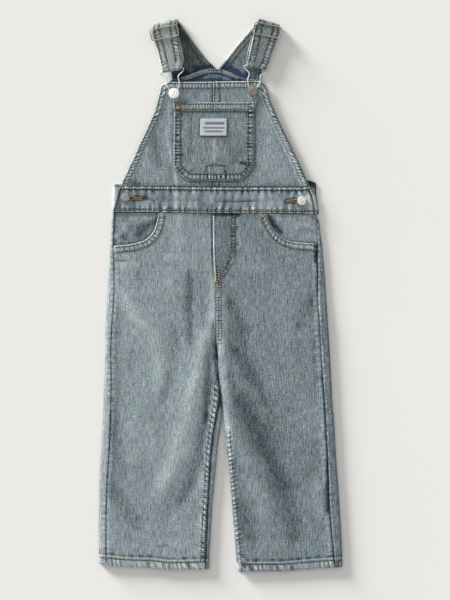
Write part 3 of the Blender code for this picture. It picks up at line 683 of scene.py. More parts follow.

# Every fold: the points of its line, its width, how high it stands, how much paler it is and, where it
# has kept its dye, how much bluer. The paler and darker tones are partly real fading and partly painted
# shade in troughs and beside raised edges, with some painted light on spots in cast shadow.
FRONT_FOLDS = {
    "l": (
        (((-142, 6), (-116, -28), (-91, -62), (-84, -100), (-86, -146)), 12, 0.9, 0.11),
        (((-10, -36), (-22, -90), (-36, -140), (-51, -188), (-88, -284)), 16, 0.9, 0.15),
        (((-9.6, -36), (-10.4, -62), (-14.8, -91), (-16.4, -120), (-18, -150), (-21, -180)),
         5.8, -1, -0.3),
        (((-8.4, -70), (-9, -100), (-12.4, -140)), 3, 0, -0.1),
        (((-113, 48), (-112, 10)), 5, -0.2, -0.07),
        (((-136, 40), (-138, 6)), 12, 0.2, 0.06),
        (((-70, 60), (-68, 0)), 7, 0.3, 0.05),
        (((-18, -166), (-26, -206), (-33, -238), (-42, -266), (-57, -298)), 8.5, -0.8, -0.18),
        (((-28, -212), (-25, -238)), 4, 0, -0.08),
        (((-26, -270), (-25, -302)), 4, 0, -0.12),
        (((-146, -168), (-143, -216), (-136, -262)), 11, 0, -0.08),
        (((-153, -288), (-151, -348)), 5, 0.2, 0.13),
        (((-136, -334), (-114, -344)), 8, 0, -0.07),
        (((-40, -226), (-56, -262), (-76, -316)), 11, -0.6, -0.06),
        (((-43, 36), (-43, 0), (-43, -36), (-42, -74)), 6.4, -0.5, -0.22),
        (((-27, 60), (-25, 0), (-23, -40)), 7, -0.3, -0.06),
        (((-151, -262), (-130, -304), (-108, -332)), 12, -0.6, -0.12),
        (((-164, -330), (-158, -364)), 8, 0.3, 0.07),
        (((-59, 114), (-56, 80), (-55, 44)), 8, 0.4, 0.06),
        (((-11.5, 44), (-10, 10), (-9, -40)), 3.2, 0.3, 0.1),
        (((-150, 68), (-136, 56), (-112, 36)), 10, 0.3, 0.08),
        (((-150, -158), (-151, -206)), 8, -0.4, -0.08),
        (((-64, -40), (-61, -72), (-64, -98), (-70, -122), (-81, -154)), 10, -0.5, -0.06),
        (((-108, 60), (-38, 58)), 2.2, -0.1, -0.04),
        (((-112, 41), (-38, 40)), 2.2, -0.1, -0.04),
        (((-122.5, -76), (-124, -108)), 6, -0.3, -0.06),
        (((-152, 48), (-127, 47)), 1.5, -0.35, -0.2),
        (((-150, 42), (-130, 43)), 2.4, 0.2, 0.08),
        (((-89, -352.5), (-73, -350)), 1.5, -0.25, -0.14),
        (((-61, -340), (-52, -356)), 4, 0.2, 0.06),
        (((-154, 77), (-122, 73)), 4, 0, 0.2),
        (((-122, -176), (-118, -240)), 14, 0.3, 0.03),
        (((-27, -296), (-25, -334)), 7, 0.1, 0.04),
        (((-35, -286), (-33, -312)), 6, -0.1, -0.06),
        (((-21, -52), (-26, -76), (-31, -96), (-36, -124), (-45, -146)), 7, 0.5, 0.07),
        (((-100, -180), (-94, -240)), 9, 0.2, 0.08),
        # Painted shadow beside the fly's folded edge.
        (((-12.4, 114), (-11.6, 70), (-10.6, 24)), 1.5, -0.2, -0.34),
        (((-26, -250), (-22, -300)), 5, 0.3, 0.06),
    ),
    "r": (
        (((11, -6), (24, -30), (40, -60)), 9, -0.8, -0.13),
        (((12, -44), (26, -60), (38, -74)), 7, -0.2, -0.1),
        (((14, -72), (36, -94), (58, -136)), 9, -0.9, -0.14),
        (((20, -112), (38, -140)), 6, 0.4, 0.04),
        (((24, -136), (35, -164), (50, -196), (72, -236)), 15, -1.1, -0.155),
        (((56, -134), (64, -156)), 6, -0.2, -0.1),
        (((44, -122), (66, -182)), 6, 0.2, 0.06),
        (((139, -18), (142, -66)), 3, 0.1, 0.16),
        (((38, -240), (58, -258)), 9, 0, -0.07),
        (((46, -140), (84, -210), (112, -270)), 34, -0.3, -0.06),
        (((74, -236), (88, -268), (100, -304), (106, -352)), 15, -1, -0.16),
        (((9, -170), (28, -212), (52, -266), (72, -324)), 13, 1, 0.07),
        (((26, -286), (38, -322), (48, -356)), 10, -0.5, -0.09),
        (((1, -48), (6, -100), (12, -160), (18, -236)), 6, 0.7, 0.16),
        (((5, 0), (5, -40), (3, -86)), 6, 0.4, 0.14),
        (((140, 4), (122, -24), (106, -54)), 10, -0.5, -0.07),
        (((34, 70), (52, 54), (62, 30)), 10, 0.2, 0.03),
        (((24, 42), (66, 30)), 11, 0.2, 0.04),
        (((24, 110), (25, 62)), 4, 0.25, 0.1),
        (((21.6, 95), (26, 92)), 1.6, -0.2, -0.16),
        (((21.6, 71), (26, 70)), 1.6, -0.2, -0.16),
        # Under the waistband: bluer where the dye stayed, and darker as painted shade.
        (((-8, 112), (8, 111.6), (28, 112)), 3.6, 0, -0.4, 0.8),
        # Painted light that offsets the waistband's cast shadow.
        (((34, 118), (58, 118)), 3, 0, 0.14),
        (((151, -226), (151, -262)), 4.5, -0.2, -0.3, 0.3),
        (((98, 71), (132, 65)), 4, 0, 0.14),
        (((149, -262), (150, -306)), 4.5, -0.2, -0.34, 0.3),
        (((144, -102), (145, -122)), 4, -0.2, -0.2, 0.2),
        (((134, 80), (134.5, 44)), 3.6, -0.2, -0.5, 0.3),
        (((118, -136), (128, -204)), 12, 0.3, 0.05),
        (((134, -258), (138, -316)), 8, 0.2, 0.1),
        (((132, 54.6), (137, 54.6)), 1.6, -0.3, -0.24),
        (((84, 20), (96, -70)), 14, 0.25, 0.03),
        (((114, -60), (112, -120)), 10, -0.25, -0.03),
        (((12, -108), (22, -134)), 5, -0.3, -0.06),
        (((126, 6), (131, -60), (135, -140)), 5, 0, -0.1),
    ),
}
FRONT_WASH = {"l": 0.526, "r": 0.442}

# The stretches of each outseam that carry a dark edge of painted shade along the seam, and one on the
# right that is a little paler: their upper and lower end, how far they drop and their tone.
OUTSEAM_SHADES = {
    "l": ((200, -400, 0.5, -0.44), (-40, -400, 0.3, -0.16)),
    "r": ((200, 4, 0.5, -0.44), (-116, -400, 0.5, -0.4), (200, -400, 0.2, 0.04)),
}


def leg_edges(solid, side):
    """The pocket mouth, the outseam and the inner edge of a front leg, from its waist down."""
    outer, inner = (0, 1) if side == "l" else (1, 0)
    hip, leg = np.arange(WAIST_Y, SCOOP_FOOT_Y, -0.2), np.arange(SCOOP_FOOT_Y, HEM_Y + 0.5, -2.0)
    ys = np.concatenate([hip, leg, [HEM_Y]])
    reach = solid.across(ys)
    outside = np.stack([reach[:, outer], ys], 1)
    seam_x = solid.reach(1, SCOOP_FOOT_Y)[outer]
    corner = int(np.argmax(np.abs(outside[:, 0] - seam_x) < 0.6))
    mouth, seam = (
        evened(spaced(edge, int(lengths(edge)[-1] / FINE)), rounds, 0)
        for edge, rounds in ((outside[: corner + 1], 14), (outside[corner:], 8))
    )
    return mouth, seam, np.stack([reach[:, inner], ys], 1)


def end_curve(solid, x, first, last, end):
    """Where the hem (end 0) or the waist (end 1) of a leg lies at each x, between two of its x."""
    places = np.linspace(first, last, 60)
    return np.interp(x, places, solid.lengthwise(places)[:, end])


def trimmed(y, waist_y, waist, hem):
    """The rows of a leg bent to the curves of its waist and its hem."""
    near_waist = smooth((y - SCOOP_FOOT_Y) / (waist_y - SCOOP_FOOT_Y))
    near_hem = smooth((SHIN_Y - y) / (SHIN_Y - HEM_Y))
    return y + (waist - waist_y) * near_waist + (hem - HEM_Y) * near_hem


def front_panel(solid, mouth, seam, inside):
    """The grid of a front leg between its outer edge and its inner one, and that inner edge."""
    outer = np.concatenate([mouth, seam[1:]])
    part = lengths(outer) / lengths(outer)[-1]
    inner_y = inside[0, 1] + (inside[-1, 1] - inside[0, 1]) * part
    inner = np.stack([np.interp(-inner_y, -inside[:, 1], inside[:, 0]), inner_y], 1)
    inner = evened(inner, 8, 0)
    u = columns(PANEL_WIDTH)[None, :]
    x, y = (outer[:, k : k + 1] * (1 - u) + inner[:, k : k + 1] * u for k in range(2))
    low, high = sorted((mouth[0, 0], inner[0, 0]))
    waist = end_curve(solid, x, low + 0.1, high - 0.1, 1)
    hem = end_curve(solid, x, x[-1].min() + 0.3, x[-1].max() - 0.3, 0)
    y = trimmed(y, WAIST_Y, waist, hem)
    return Cloth(x, y, evened(evened(solid.tops(*inset(x, y, 0.6)), 30, 0), 5, 1)), inner


def outer_seams(cloth, side, mouth, seam):
    """The mouth of a scoop pocket and the outseam below it, and the two rows round the mouth."""
    out = TOWARD[side]
    mouth_line, seam_line = Line(mouth), Line(seam)
    cloth.band(mouth_line, -out * 4.6, 4.4, 0.3, 0.05)
    cloth.edge(mouth_line, 1.5, 0.25, 0.28)
    for high, low, drop, tone in OUTSEAM_SHADES[side]:
        cloth.edge(Line(seam[(seam[:, 1] < high) & (seam[:, 1] > low)]), 0.9, drop, tone)
    cloth.band(seam_line, -out * 4.0, 2.2, 0.2, 0.05)
    if side == "r":
        cloth.band(seam_line, 3.4, 3.0, -0.1, -0.2, 0.3, seed=27)
    cloth.pucker(seam_line, 5.0, 7.5, 0.16, 0.05, 21, shift=-out * 3.0)
    cloth.pucker(mouth_line, 4.5, 5.6, 0.24, 0.2, 22, shift=-out * 5.4, slant=0.3, blue=0.3)
    return {"mouth": mouth_line.beside(-out * 1.8), "mouth_outer": mouth_line.beside(-out * 8.6)}


def inner_seams(cloth, side, inner):
    """The inseam of a front leg and, on the right one, the seam down the front, with their rows."""
    out = TOWARD[side]
    crotch = (inner[0, 0], CROTCH_Y)
    leg = inner[inner[:, 1] < CROTCH_Y - (46.0 if side == "l" else 116.0)][::6]
    inseam = Line(leg)
    lines = {"inseam": inseam.beside(out * 1.6), "inseam_inner": inseam.beside(out * 6.2)}
    if side == "l":
        cloth.pucker(inseam, 3.4, 7.6, 0.3, 0.32, 23, slant=-0.6, shift=-4.2, blue=0.2)
        # Painted shade along the inseam, down the crotch and, darkest, where the crotch meets the
        # inseam.
        cloth.edge(inseam, 1.0, 0.4, -0.25)
        cloth.edge(Line([(inner[0, 0], 112.0), crotch]), 1.3, 0.5, -0.14)
        cloth.edge(Line([crotch, leg[0]]), 2.6, 0.6, -0.62)
        return lines
    cloth.pucker(inseam, 4.6, 6.2, 0.3, 0.32, 23, slant=0.3, shift=4.4, blue=0.3)
    cloth.band(inseam, 4.4, 4.4, 0.0, 0.12)
    # Painted shade along the inseam and down from the crotch.
    cloth.edge(inseam, 1.0, 0.4, -0.1)
    cloth.edge(Line([crotch, *inner[inner[:, 1] < CROTCH_Y][::6][:12]]), 1.2, 0.5, -0.16)
    front = np.array([(inner[0, 0], 20.0), (inner[0, 0] + 1.0, CROTCH_Y + 4.0)])
    cloth.pucker(Line(front), 3.6, 5.0, 0.26, 0.2, 24, shift=3.4)
    cloth.edge(Line(front), 1.0, 0.3, 0.12)
    lines["front"] = Line(front + (1.3, 0.0))
    lines["front_inner"] = Line(front + (5.8, 0.0))
    return lines


def front_hem(cloth, side, seam):
    """The turned hem of a front leg, roped by its stitches, and the row that holds it."""
    up = -TOWARD[side]
    hem = Line(np.stack([cloth.x[-1], cloth.y[-1]], 1)[::2])
    held = hem.beside(up * HEM_ROW)
    cloth.band(hem.beside(up * HEM / 2), 0.0, HEM / 2, 0.5, 0.08)
    cloth.pucker(hem, 5.2, 8.0, 0.26, 0.33, 25, slant=0.3, shift=up * 5.0, blue=0.3)
    cloth.needle(held, 0.1, -0.3, 1.1)
    cloth.band(hem, up * (HEM + 0.8), 1.2, 0.1, 0.16)
    cloth.pucker(hem, 3.0, 14.0, 0.12, 0.16, 26, shift=up * (HEM + 4.0), blue=0.5)
    cloth.band(hem, up * (HEM + 3.6), 2.0, -0.12, -0.16)
    cloth.pucker(hem, 1.6, 6.0, 0.1, 0.2, 28)
    cloth.edge(hem, 1.4, 0.5, 0.2)
    end = seam[seam[:, 1] < seam[:, 1].min() + HEM]
    cloth.fold((end[0], end[-1]), 1.3, -0.3, -0.5 if side == "l" else -0.3)
    return held


def front_leg(side):
    """A front leg: its scoop pocket mouth, its folds, its stitched inseam and its turned hem."""
    node = f"front_leg_{side}"
    solid = Solid(node)
    mouth, seam, inside = leg_edges(solid, side)
    cloth, inner = front_panel(solid, mouth, seam, inside)
    cloth.rumple(38.0, 0.24, 11 + NUMBER[side], 0.012)
    cloth.rumple(15.0, 0.032, 13 + NUMBER[side], 0.006)
    cloth.lay(FRONT_FOLDS[side])
    lines = {**outer_seams(cloth, side, mouth, seam), **inner_seams(cloth, side, inner)}
    lines["hem"] = front_hem(cloth, side, seam)
    for line in lines.values():
        cloth.needle(line)
    cloth.relief = np.maximum(cloth.z + cloth.relief, CLEAR_OF_BACK + CLOTH) - cloth.z
    fly = Solid("fly").points
    under_fly = (cloth.x > fly[:, 0].min() - 1.0) & (cloth.x < fly[:, 0].max() - 2.0)
    under_fly &= cloth.y > fly[:, 1].min()
    cloth.relief = np.where(under_fly, np.minimum(cloth.relief, 0.1), cloth.relief)
    piece = cloth.build(node, FRONT_WASH[side], FINISH[f"leg_{side}"])
    return cloth, lines


def front_stitches(side, front, lines):
    """The topstitch of a front leg and the bartack at the upper end of its pocket mouth."""
    threads = Thread(41 + NUMBER[side])
    tones = {"mouth": 0.5, "mouth_outer": 0.3, "hem": HEM_TONE[side]}
    hole_shades = {"front": 0.7, "front_inner": 0.7, "inseam": 1.1, "inseam_inner": 1.1}
    for name, line in lines.items():
        fill, hole_shade = 0.5 if name == "hem" else 0.42, hole_shades.get(name, 1.75)
        threads.sew(front, line, tones.get(name, 0.25), fill=fill, hole_shade=hole_shade)
    bartack(threads, front, *SCOOP_TOPS[side], 4.4, 0.38 if side == "l" else 0.62)
    threads.build(f"front_leg_{side}")


def strip_end(solid, y, edge, toward, highest):
    """Where the cloth that has rolled over an edge ends on top of the leg."""
    for step in np.arange(0.4, 40.0, 0.2):
        height = top_of(solid.tree, edge - toward * step, y)
        if height is None or height < highest * 0.45:
            return edge - toward * (step - 0.1)
    return edge - toward * 2.0


def rolled(edge, toward, run, radius):
    """The outside of cloth that rolls up from the floor round an edge: x, z and the normal."""
    centre = edge - toward * radius
    bend = math.pi * radius
    angle = np.clip(run, 0.0, bend) / radius - math.pi / 2
    x = centre + toward * (radius * np.cos(angle) + np.minimum(run, 0.0))
    x = x - toward * np.maximum(run - bend, 0.0)
    return x, radius * (1 + np.sin(angle)), toward * np.cos(angle), np.sin(angle)


def back_panel(solid, side):
    """The grid of a back leg, which rolls up round both of its edges to the seams on top."""
    toward = TOWARD[side]
    edge_side, inner_side = (0, 1) if side == "l" else (1, 0)
    ys = np.linspace(BACK_WAIST_Y, HEM_Y, 310)
    reach = solid.across(ys)
    outer, inner = evened(reach[:, edge_side], 10, 0), evened(reach[:, inner_side], 6, 0)
    marks = np.linspace(112.0, -372.0, 60)
    ends = []
    for y in marks:
        edges = solid.reach(1, y)
        height = top_of(solid.tree, edges[edge_side] - toward * 1.6, y) or 4.0
        seam = strip_end(solid, y, edges[edge_side], toward, height)
        ends.append((seam, height / 2, strip_end(solid, y, edges[inner_side], -toward, height)))
    seam, radius, inseam = (
        evened(np.interp(-ys, -marks, values), rounds, 0)
        for values, rounds in zip(zip(*ends), (8, 20, 8))
    )
    curl = smooth((CROTCH_Y - 2.0 - ys) / 22.0)
    rows = []
    for y, edge, far, over, inner_over, r, c in zip(ys, outer, inner, seam, inseam, radius, curl):
        half_turn = math.pi * r
        end = half_turn - r + max(toward * (edge - over), r * 0.6)
        outer_runs = np.linspace(end, 0, 19)
        if end >= half_turn:
            flat, turn = np.linspace(end, half_turn, 10)[:-1], np.linspace(half_turn, 0, 10)
            outer_runs = np.concatenate([flat, turn])
        end = (half_turn - r + max(toward * (inner_over - far), r * 0.6)) * c
        turned = min(half_turn, end)
        inner_runs = np.concatenate([np.linspace(0, turned, 10), np.linspace(turned, end, 7)[1:]])
        a = rolled(edge, toward, outer_runs, r)
        b = rolled(far, -toward, inner_runs, r)
        floor_x = np.linspace(a[0][-1], b[0][0], 40)[1:-1]
        level = np.zeros(floor_x.shape)
        on_floor = (floor_x, level, level, level - 1)
        x, z, nx, nz = (np.concatenate(parts) for parts in zip(a, on_floor, b))
        rows.append((x, np.full(x.shape, y), z, nx, nz, lengths(np.stack([x, z], 1)) + over))
    x, y, z, nx, nz, across = (np.array(column) for column in zip(*rows))
    hem = end_curve(solid, x, reach[-1, 0] + 0.4, reach[-1, 1] - 0.4, 0)
    waist = end_curve(solid, x, reach[0, 0] + 0.4, reach[0, 1] - 0.4, 1)
    y = trimmed(y, BACK_WAIST_Y, waist, hem)
    normals = np.stack([nx, np.zeros(x.shape), nz], axis=-1)
    return Cloth(x, y, z, across=across, along=y, normals=normals), hem, outer[-1]


def back_leg(side):
    """A back leg: flat on the floor, rolling up round the leg's edges to its seams on top."""
    toward = TOWARD[side]
    node = f"back_leg_{side}"
    cloth, hem, hem_corner = back_panel(Solid(node), side)
    x, y, across = cloth.x, cloth.y, cloth.across
    upper = cloth.z > 0.5
    cloth.rumple(30.0, 0.22, 31 + NUMBER[side], 0.015)
    outseam = Line(np.stack([x[:, 0], y[:, 0]], 1)[::4])
    # A dark line of painted shade along the outseam.
    cloth.edge(outseam, 0.8, 0.3, -0.3)
    cloth.pucker(outseam, 5.0, 8.0, 0.2, 0.09, 33)
    height = y - hem
    cloth.wash += np.where(np.abs(height - HEM - 0.6) < 1.1, 0.16, 0.0)
    cloth.wash += -0.15 * np.exp(-(((height - HEM - 4.0) / 2.4) ** 2))
    roped = Noise(34)(across / 4.0, y / 30.0) * smooth((HEM - height) / 3.0)
    cloth.wash += 0.16 * roped
    cloth.relief += 0.2 * roped * upper
    if side == "l":
        leg = np.stack([x[:, -1], y[:, -1]], 1)[y[:, -1] < CROTCH_Y - 40.0][::5]
        # Painted shade along the inseam and, in the crotch, between the legs.
        cloth.edge(Line(leg), 1.4, 0.3, -0.45)
        cloth.band(Line([(1.0, -96.0), (1.4, -128.0), (0.6, -152.0)]), 0.0, 6.0, 0.0, -0.3)
        # On the left leg's outer roll: a painted highlight on its top, and painted shade on its outward
        # side.
        cloth.wash += 0.18 * smooth((-140.0 - x) / 6.0) * upper
        cloth.wash -= 0.3 * smooth(-1.4 * cloth.normals[..., 0] - 0.2)
    else:
        # On the right leg: painted shade on its outer strip, and a pale line beside the outseam that is
        # partly rubbed cloth and partly a painted highlight.
        cloth.wash += -0.12 * smooth((x - 120.0) / 6.0) * upper
        worn = 0.2 + 0.2 * smooth((20.0 - y) / 20.0) * smooth((y + 130.0) / 20.0)
        cloth.wash += worn * np.exp(-(((x - x[:, :1] - 1.2) / 1.4) ** 2)) * upper
    cloth.wash += -0.05 * (1 - upper)
    piece = cloth.build(node, 0.5, FINISH[f"leg_{side}"], floor=True)
    threads = Thread(36 + NUMBER[side])
    row_y = y[-1, 0] + HEM_ROW
    row = Line([(x[-1, 0] + toward * 0.6, row_y), (hem_corner - toward * 1.6, row_y)])
    threads.sew(cloth, row, HEM_TONE[side], fill=0.5)
    threads.build(node)


# Hips and waist

WAISTBAND = 2.4  # thickness of its two layers


def pocket_facing(side):
    """The denim that shows inside a scoop pocket, with painted shade under the pocket's mouth and along
    its outer rim, and painted light near its top.
    """
    node = f"pocket_facing_{side}"
    cloth = patch(node, 1.6, 1.6)
    mouth = Line(leg_edges(Solid(f"front_leg_{side}"), side)[0])
    cloth.rumple(22.0, 0.25, 51 + NUMBER[side], 0.03)
    # Painted shade under the pocket mouth and along the outer rim.
    cloth.edge(mouth, 1.7, 0.0, -0.4)
    cloth.edge(cloth.rim(OUTER[side]), 1.2, 0.0, -0.4)
    # Painted light near the top, that offsets the waistband's cast shadow.
    cloth.wash += 0.14 * smooth((cloth.y - 104.0) / 6.0)
    cloth.lay(FACING_FOLDS[side])
    cloth.relief = np.minimum(cloth.relief, 0.1)
    piece = cloth.build(node, FACING_WASH[side], FINISH["facing"])


FACING_WASH = {"l": 0.43, "r": 0.52}
# Folds of the facings, as in FRONT_FOLDS; their tones also hold painted shade under the pocket mouths
# and painted light where cast shadow falls.
FACING_FOLDS = {
    "l": (
        (((-148, 104), (-128, 103)), 7, 0.2, 0.05),
        (((-120, 80), (-98, 86)), 6, 0, -0.08),
        # Painted light where the leg's rolled edge casts shadow.
        (((-151, 86), (-140, 76)), 4.4, 0.1, 0.3),
        (((-108, 108), (-95, 106)), 4, 0.2, 0.16),
        (((-127, 108), (-107, 106)), 6, 0.3, 0.13),
        (((-141, 101), (-134, 90)), 5, 0.2, 0.12),
        (((-118, 92), (-106, 97)), 3, -0.3, -0.12, 0.4),
        (((-150, 106), (-148, 95)), 3.4, 0.1, 0.2),
        (((-120, 82), (-104, 93), (-88, 107)), 4, -0.4, -0.14),
        (((-152, 103), (-140, 84)), 6, 0.4, 0.1),
        (((-146, 76), (-136, 82), (-131, 76)), 2.6, -0.3, -0.16, 0.3),
        (((-150, 110), (-112, 111), (-90, 108)), 3, 0.2, -0.03, 0.4),
        (((-136, 100), (-118, 106)), 5, 0.3, 0.07),
        (((-90, 100), (-84, 92)), 2.4, -0.3, -0.2, 0.4),
    ),
    "r": (
        (((134, 86), (120, 92), (108, 90)), 3.4, -0.3, -0.1),
        # Painted shadow inside the pocket mouth.
        (((68, 112), (75, 98), (88, 85)), 3.4, -0.5, -0.34, 0.3),
        (((128, 104), (100, 100)), 8, 0.4, 0.07),
        (((132, 93), (116, 99)), 3, 0.3, 0.08),
        (((90, 106), (104, 90)), 5, 0.2, 0.04),
        (((72, 111), (134, 110)), 2.4, 0.1, -0.02, 0.4),
        # These two: painted light that offsets the waistband's cast shadow.
        (((66, 114), (82, 113)), 3, 0, 0.16),
        (((114, 114.5), (130, 113.5)), 3, 0, 0.2),
    ),
}


def fly(legs):
    """The mock fly: a bright folded edge, a J of two rows of stitches and a bartack at its foot."""
    cloth = patch("fly")
    fold_line = Line(np.stack([cloth.x[:, 0], cloth.y[:, 0]], 1)[::4])
    ys = np.linspace(112.0, 22.0, 46)
    curve = evened(np.stack([Solid("fly").across(ys)[:, 1], ys], 1), 6, 0)
    curve_line = Line(curve)
    cloth.rumple(24.0, 0.12, 53, 0.02)
    cloth.edge(fold_line, 0.8, 0.2, 0.38)
    cloth.band(fold_line, -2.4, 0.9, 0.0, -0.12)
    cloth.pucker(curve_line, 3.8, 4.4, 0.2, 0.26, 54, shift=-4.3)
    cloth.band(curve_line, -4.3, 3.0, -0.05, -0.07)
    cloth.fold(((-4.6, 40.0), (-4.2, 18.0)), 3.0, 0.0, -0.3)
    head = Line([(cloth.x[-1, 0], cloth.y[-1, 0]), (cloth.x[-1, -1], cloth.y[-1, -1])])
    # Under the waistband: bluer where the dye stayed, and darker as painted shade.
    cloth.band(head, 1.0, 4.6, 0.0, -0.4, 0.8)
    _, beyond = curve_line.near(cloth.x, cloth.y)
    sunk = smooth((beyond + 22.0) / 23.0)
    cloth.relief -= sunk * (cloth.relief + CLOTH - 0.12)
    thick = CLOTH - sunk * (CLOTH - 0.1)
    piece = cloth.build("fly", FRONT_WASH["r"] - 0.03, FINISH["leg_r"], thick=thick)
    layers = [cloth, *legs]
    threads = Thread(55)
    straight, round_foot = Line(curve[curve[:, 1] > 56.0]), Line(curve[curve[:, 1] < 58.0])
    for inward in (-1.6, -7.0):
        threads.sew(layers, straight.beside(inward), 0.18, radius=0.32)
        threads.sew(layers, round_foot.beside(inward), 0.16, radius=0.18, fill=0.7)
    threads.sew(layers, fold_line.beside(-1.5), 0.3, radius=0.24, fill=0.8)
    bartack(threads, layers, (15.0, 44.0), (20.0, 51.0), 3.6, 0.4, 1.1)
    for start, end in (((-7.4, 38.0), (-6.6, 18.0)), ((-2.4, 37.0), (-1.6, 18.0))):
        bartack(threads, layers, start, end, 1.8, 0.6, 1.3, 0.4)
    for y in (37.0, 33.4, 29.6, 25.8, 22.2, 18.6):
        bartack(threads, layers, (-7.4, y), (-1.8, y), 1.3, 0.55, 1.3, 0.5)
    threads.build("fly")


def way_of(start, end):
    """A line from start to end: its start, its length, its direction and the one to its left."""
    start, end = np.array(start), np.array(end)
    length = np.linalg.norm(end - start)
    way = (end - start) / length
    return start, length, way, np.array([-way[1], way[0]])


def bartack(threads, cloth, start, end, width, tone, step=0.75, lift=0.12):
    """A short bar of stitches set close side by side, across the line from start to end."""
    start, length, way, left = way_of(start, end)
    for k in range(int(length / step)):
        place = start + way * step * (k + 0.5)
        lean = way * (0.25 if k % 2 else -0.25)
        half = left * width / 2
        threads.stitch(cloth, place - half + lean, place + half - lean, 0.3, tone, lift)


def buttonhole(threads, cloth, round_end, flat_end, tone=0.9):
    """Close stitches round a slit with a round eye at the end where the button sits."""
    start, length, way, left = way_of(round_end, flat_end)
    for k in range(int(length / 0.8)):
        along = 0.8 * (k + 0.5)
        half = 0.6 + 0.8 * smooth((6.5 - along) / 6.0)
        for hand in (-1, 1):
            near = start + way * along + left * hand * half
            far = start + way * along + left * hand * (half + 1.3)
            threads.stitch(cloth, near, far, 0.34, tone, 0.1)
    end = np.array(flat_end)
    bartack(threads, cloth, end - way * 0.4, end + way * 1.4, 3.6, tone)


def waist_lines(cloth, first, last):
    """The upper and the lower row of stitches of a waistband, at their distances from its rims."""
    return cloth.rim("high").beside(-first), cloth.rim("low").beside(last)


def front_waistband():
    """The front waistband: stitched all round, gathered by its stitches, with two buttonholes."""
    cloth = patch("front_waistband")
    upper, lower = waist_lines(cloth, 2.4, 3.6)
    ends = cloth.rim("right").beside(2.6), cloth.rim("left").beside(-2.4)
    cloth.rumple(26.0, 0.3, 61, 0.03)
    for line, seed in ((upper, 62), (lower, 63)):
        cloth.pucker(line, 11.0, 11.4, 0.3, 0.18, seed)
        cloth.pucker(line, 4.6, 7.9, 0.2, 0.26, seed + 10, blue=0.3)
        cloth.needle(line, 0.16, -0.42, 1.4)
    cloth.lay(WAIST_FOLDS)
    for side, tone in (("high", 0.12), ("low", -0.3), ("right", 0.2), ("left", -0.1)):
        cloth.edge(cloth.rim(side), 0.6 if side == "low" else 1.0, 0.45, tone)
    cloth.band(cloth.rim("low"), 1.5, 0.8, 0.0, 0.4)
    cloth.band(cloth.rim("right"), 0.8, 1.1, 0.0, 0.4)
    for end, tone in zip(ends, (-0.5, -0.45)):
        cloth.needle(end, 0.2, tone, 1.2)
    piece = cloth.build("front_waistband", 0.475, FINISH["waist"], thick=WAISTBAND)
    threads = Thread(64)
    for line in (upper, lower):
        threads.sew(cloth, line, 0.38, step=3.9, radius=0.66, fill=0.42, hole_shade=1.9)
    for end in ends:
        threads.sew(cloth, end, 0.16, fill=0.3)
    buttonhole(threads, cloth, (-126.0, 135.6), (-110.6, 134.8))
    buttonhole(threads, cloth, (108.0, 131.8), (93.0, 131.0))
    bartack(threads, cloth, (130.4, 116.2), (134.0, 117.0), 3.0, 0.9)
    threads.build("front_waistband")
    slits(cloth)


def slits(cloth):
    """The cut of each buttonhole as a thin black sliver of painted shade between its two rows of
    stitches.
    """
    points, faces = [], []
    for start, end in (((-127.0, 135.65), (-111.6, 134.9)), ((109.0, 131.85), (94.0, 131.1))):
        start, length, way, left = way_of(start, end)
        base = len(points)
        for part, half in ((0.0, 0.6), (0.1, 1.35), (0.3, 1.2), (0.45, 0.7), (1.0, 0.45)):
            for hand in (-1, 1):
                place = start + way * length * part + left * hand * half
                points += [(*place, surface(cloth, *place) + rise) for rise in (0.02, -0.4)]
        for k in range(4):
            a, b = base + 4 * k, base + 4 * k + 4
            faces += [(a, b, b + 2, a + 2), (a + 1, a + 3, b + 3, b + 1)]
            faces += [(a, a + 1, b + 1, b), (a + 2, b + 2, b + 3, a + 3)]
        faces += [(base, base + 2, base + 3, base + 1), (b, b + 1, b + 3, b + 2)]
    piece = made("buttonhole_slits", points, faces, FINISH["thread"])
    paint(piece.data, "tone", np.zeros(len(points)))


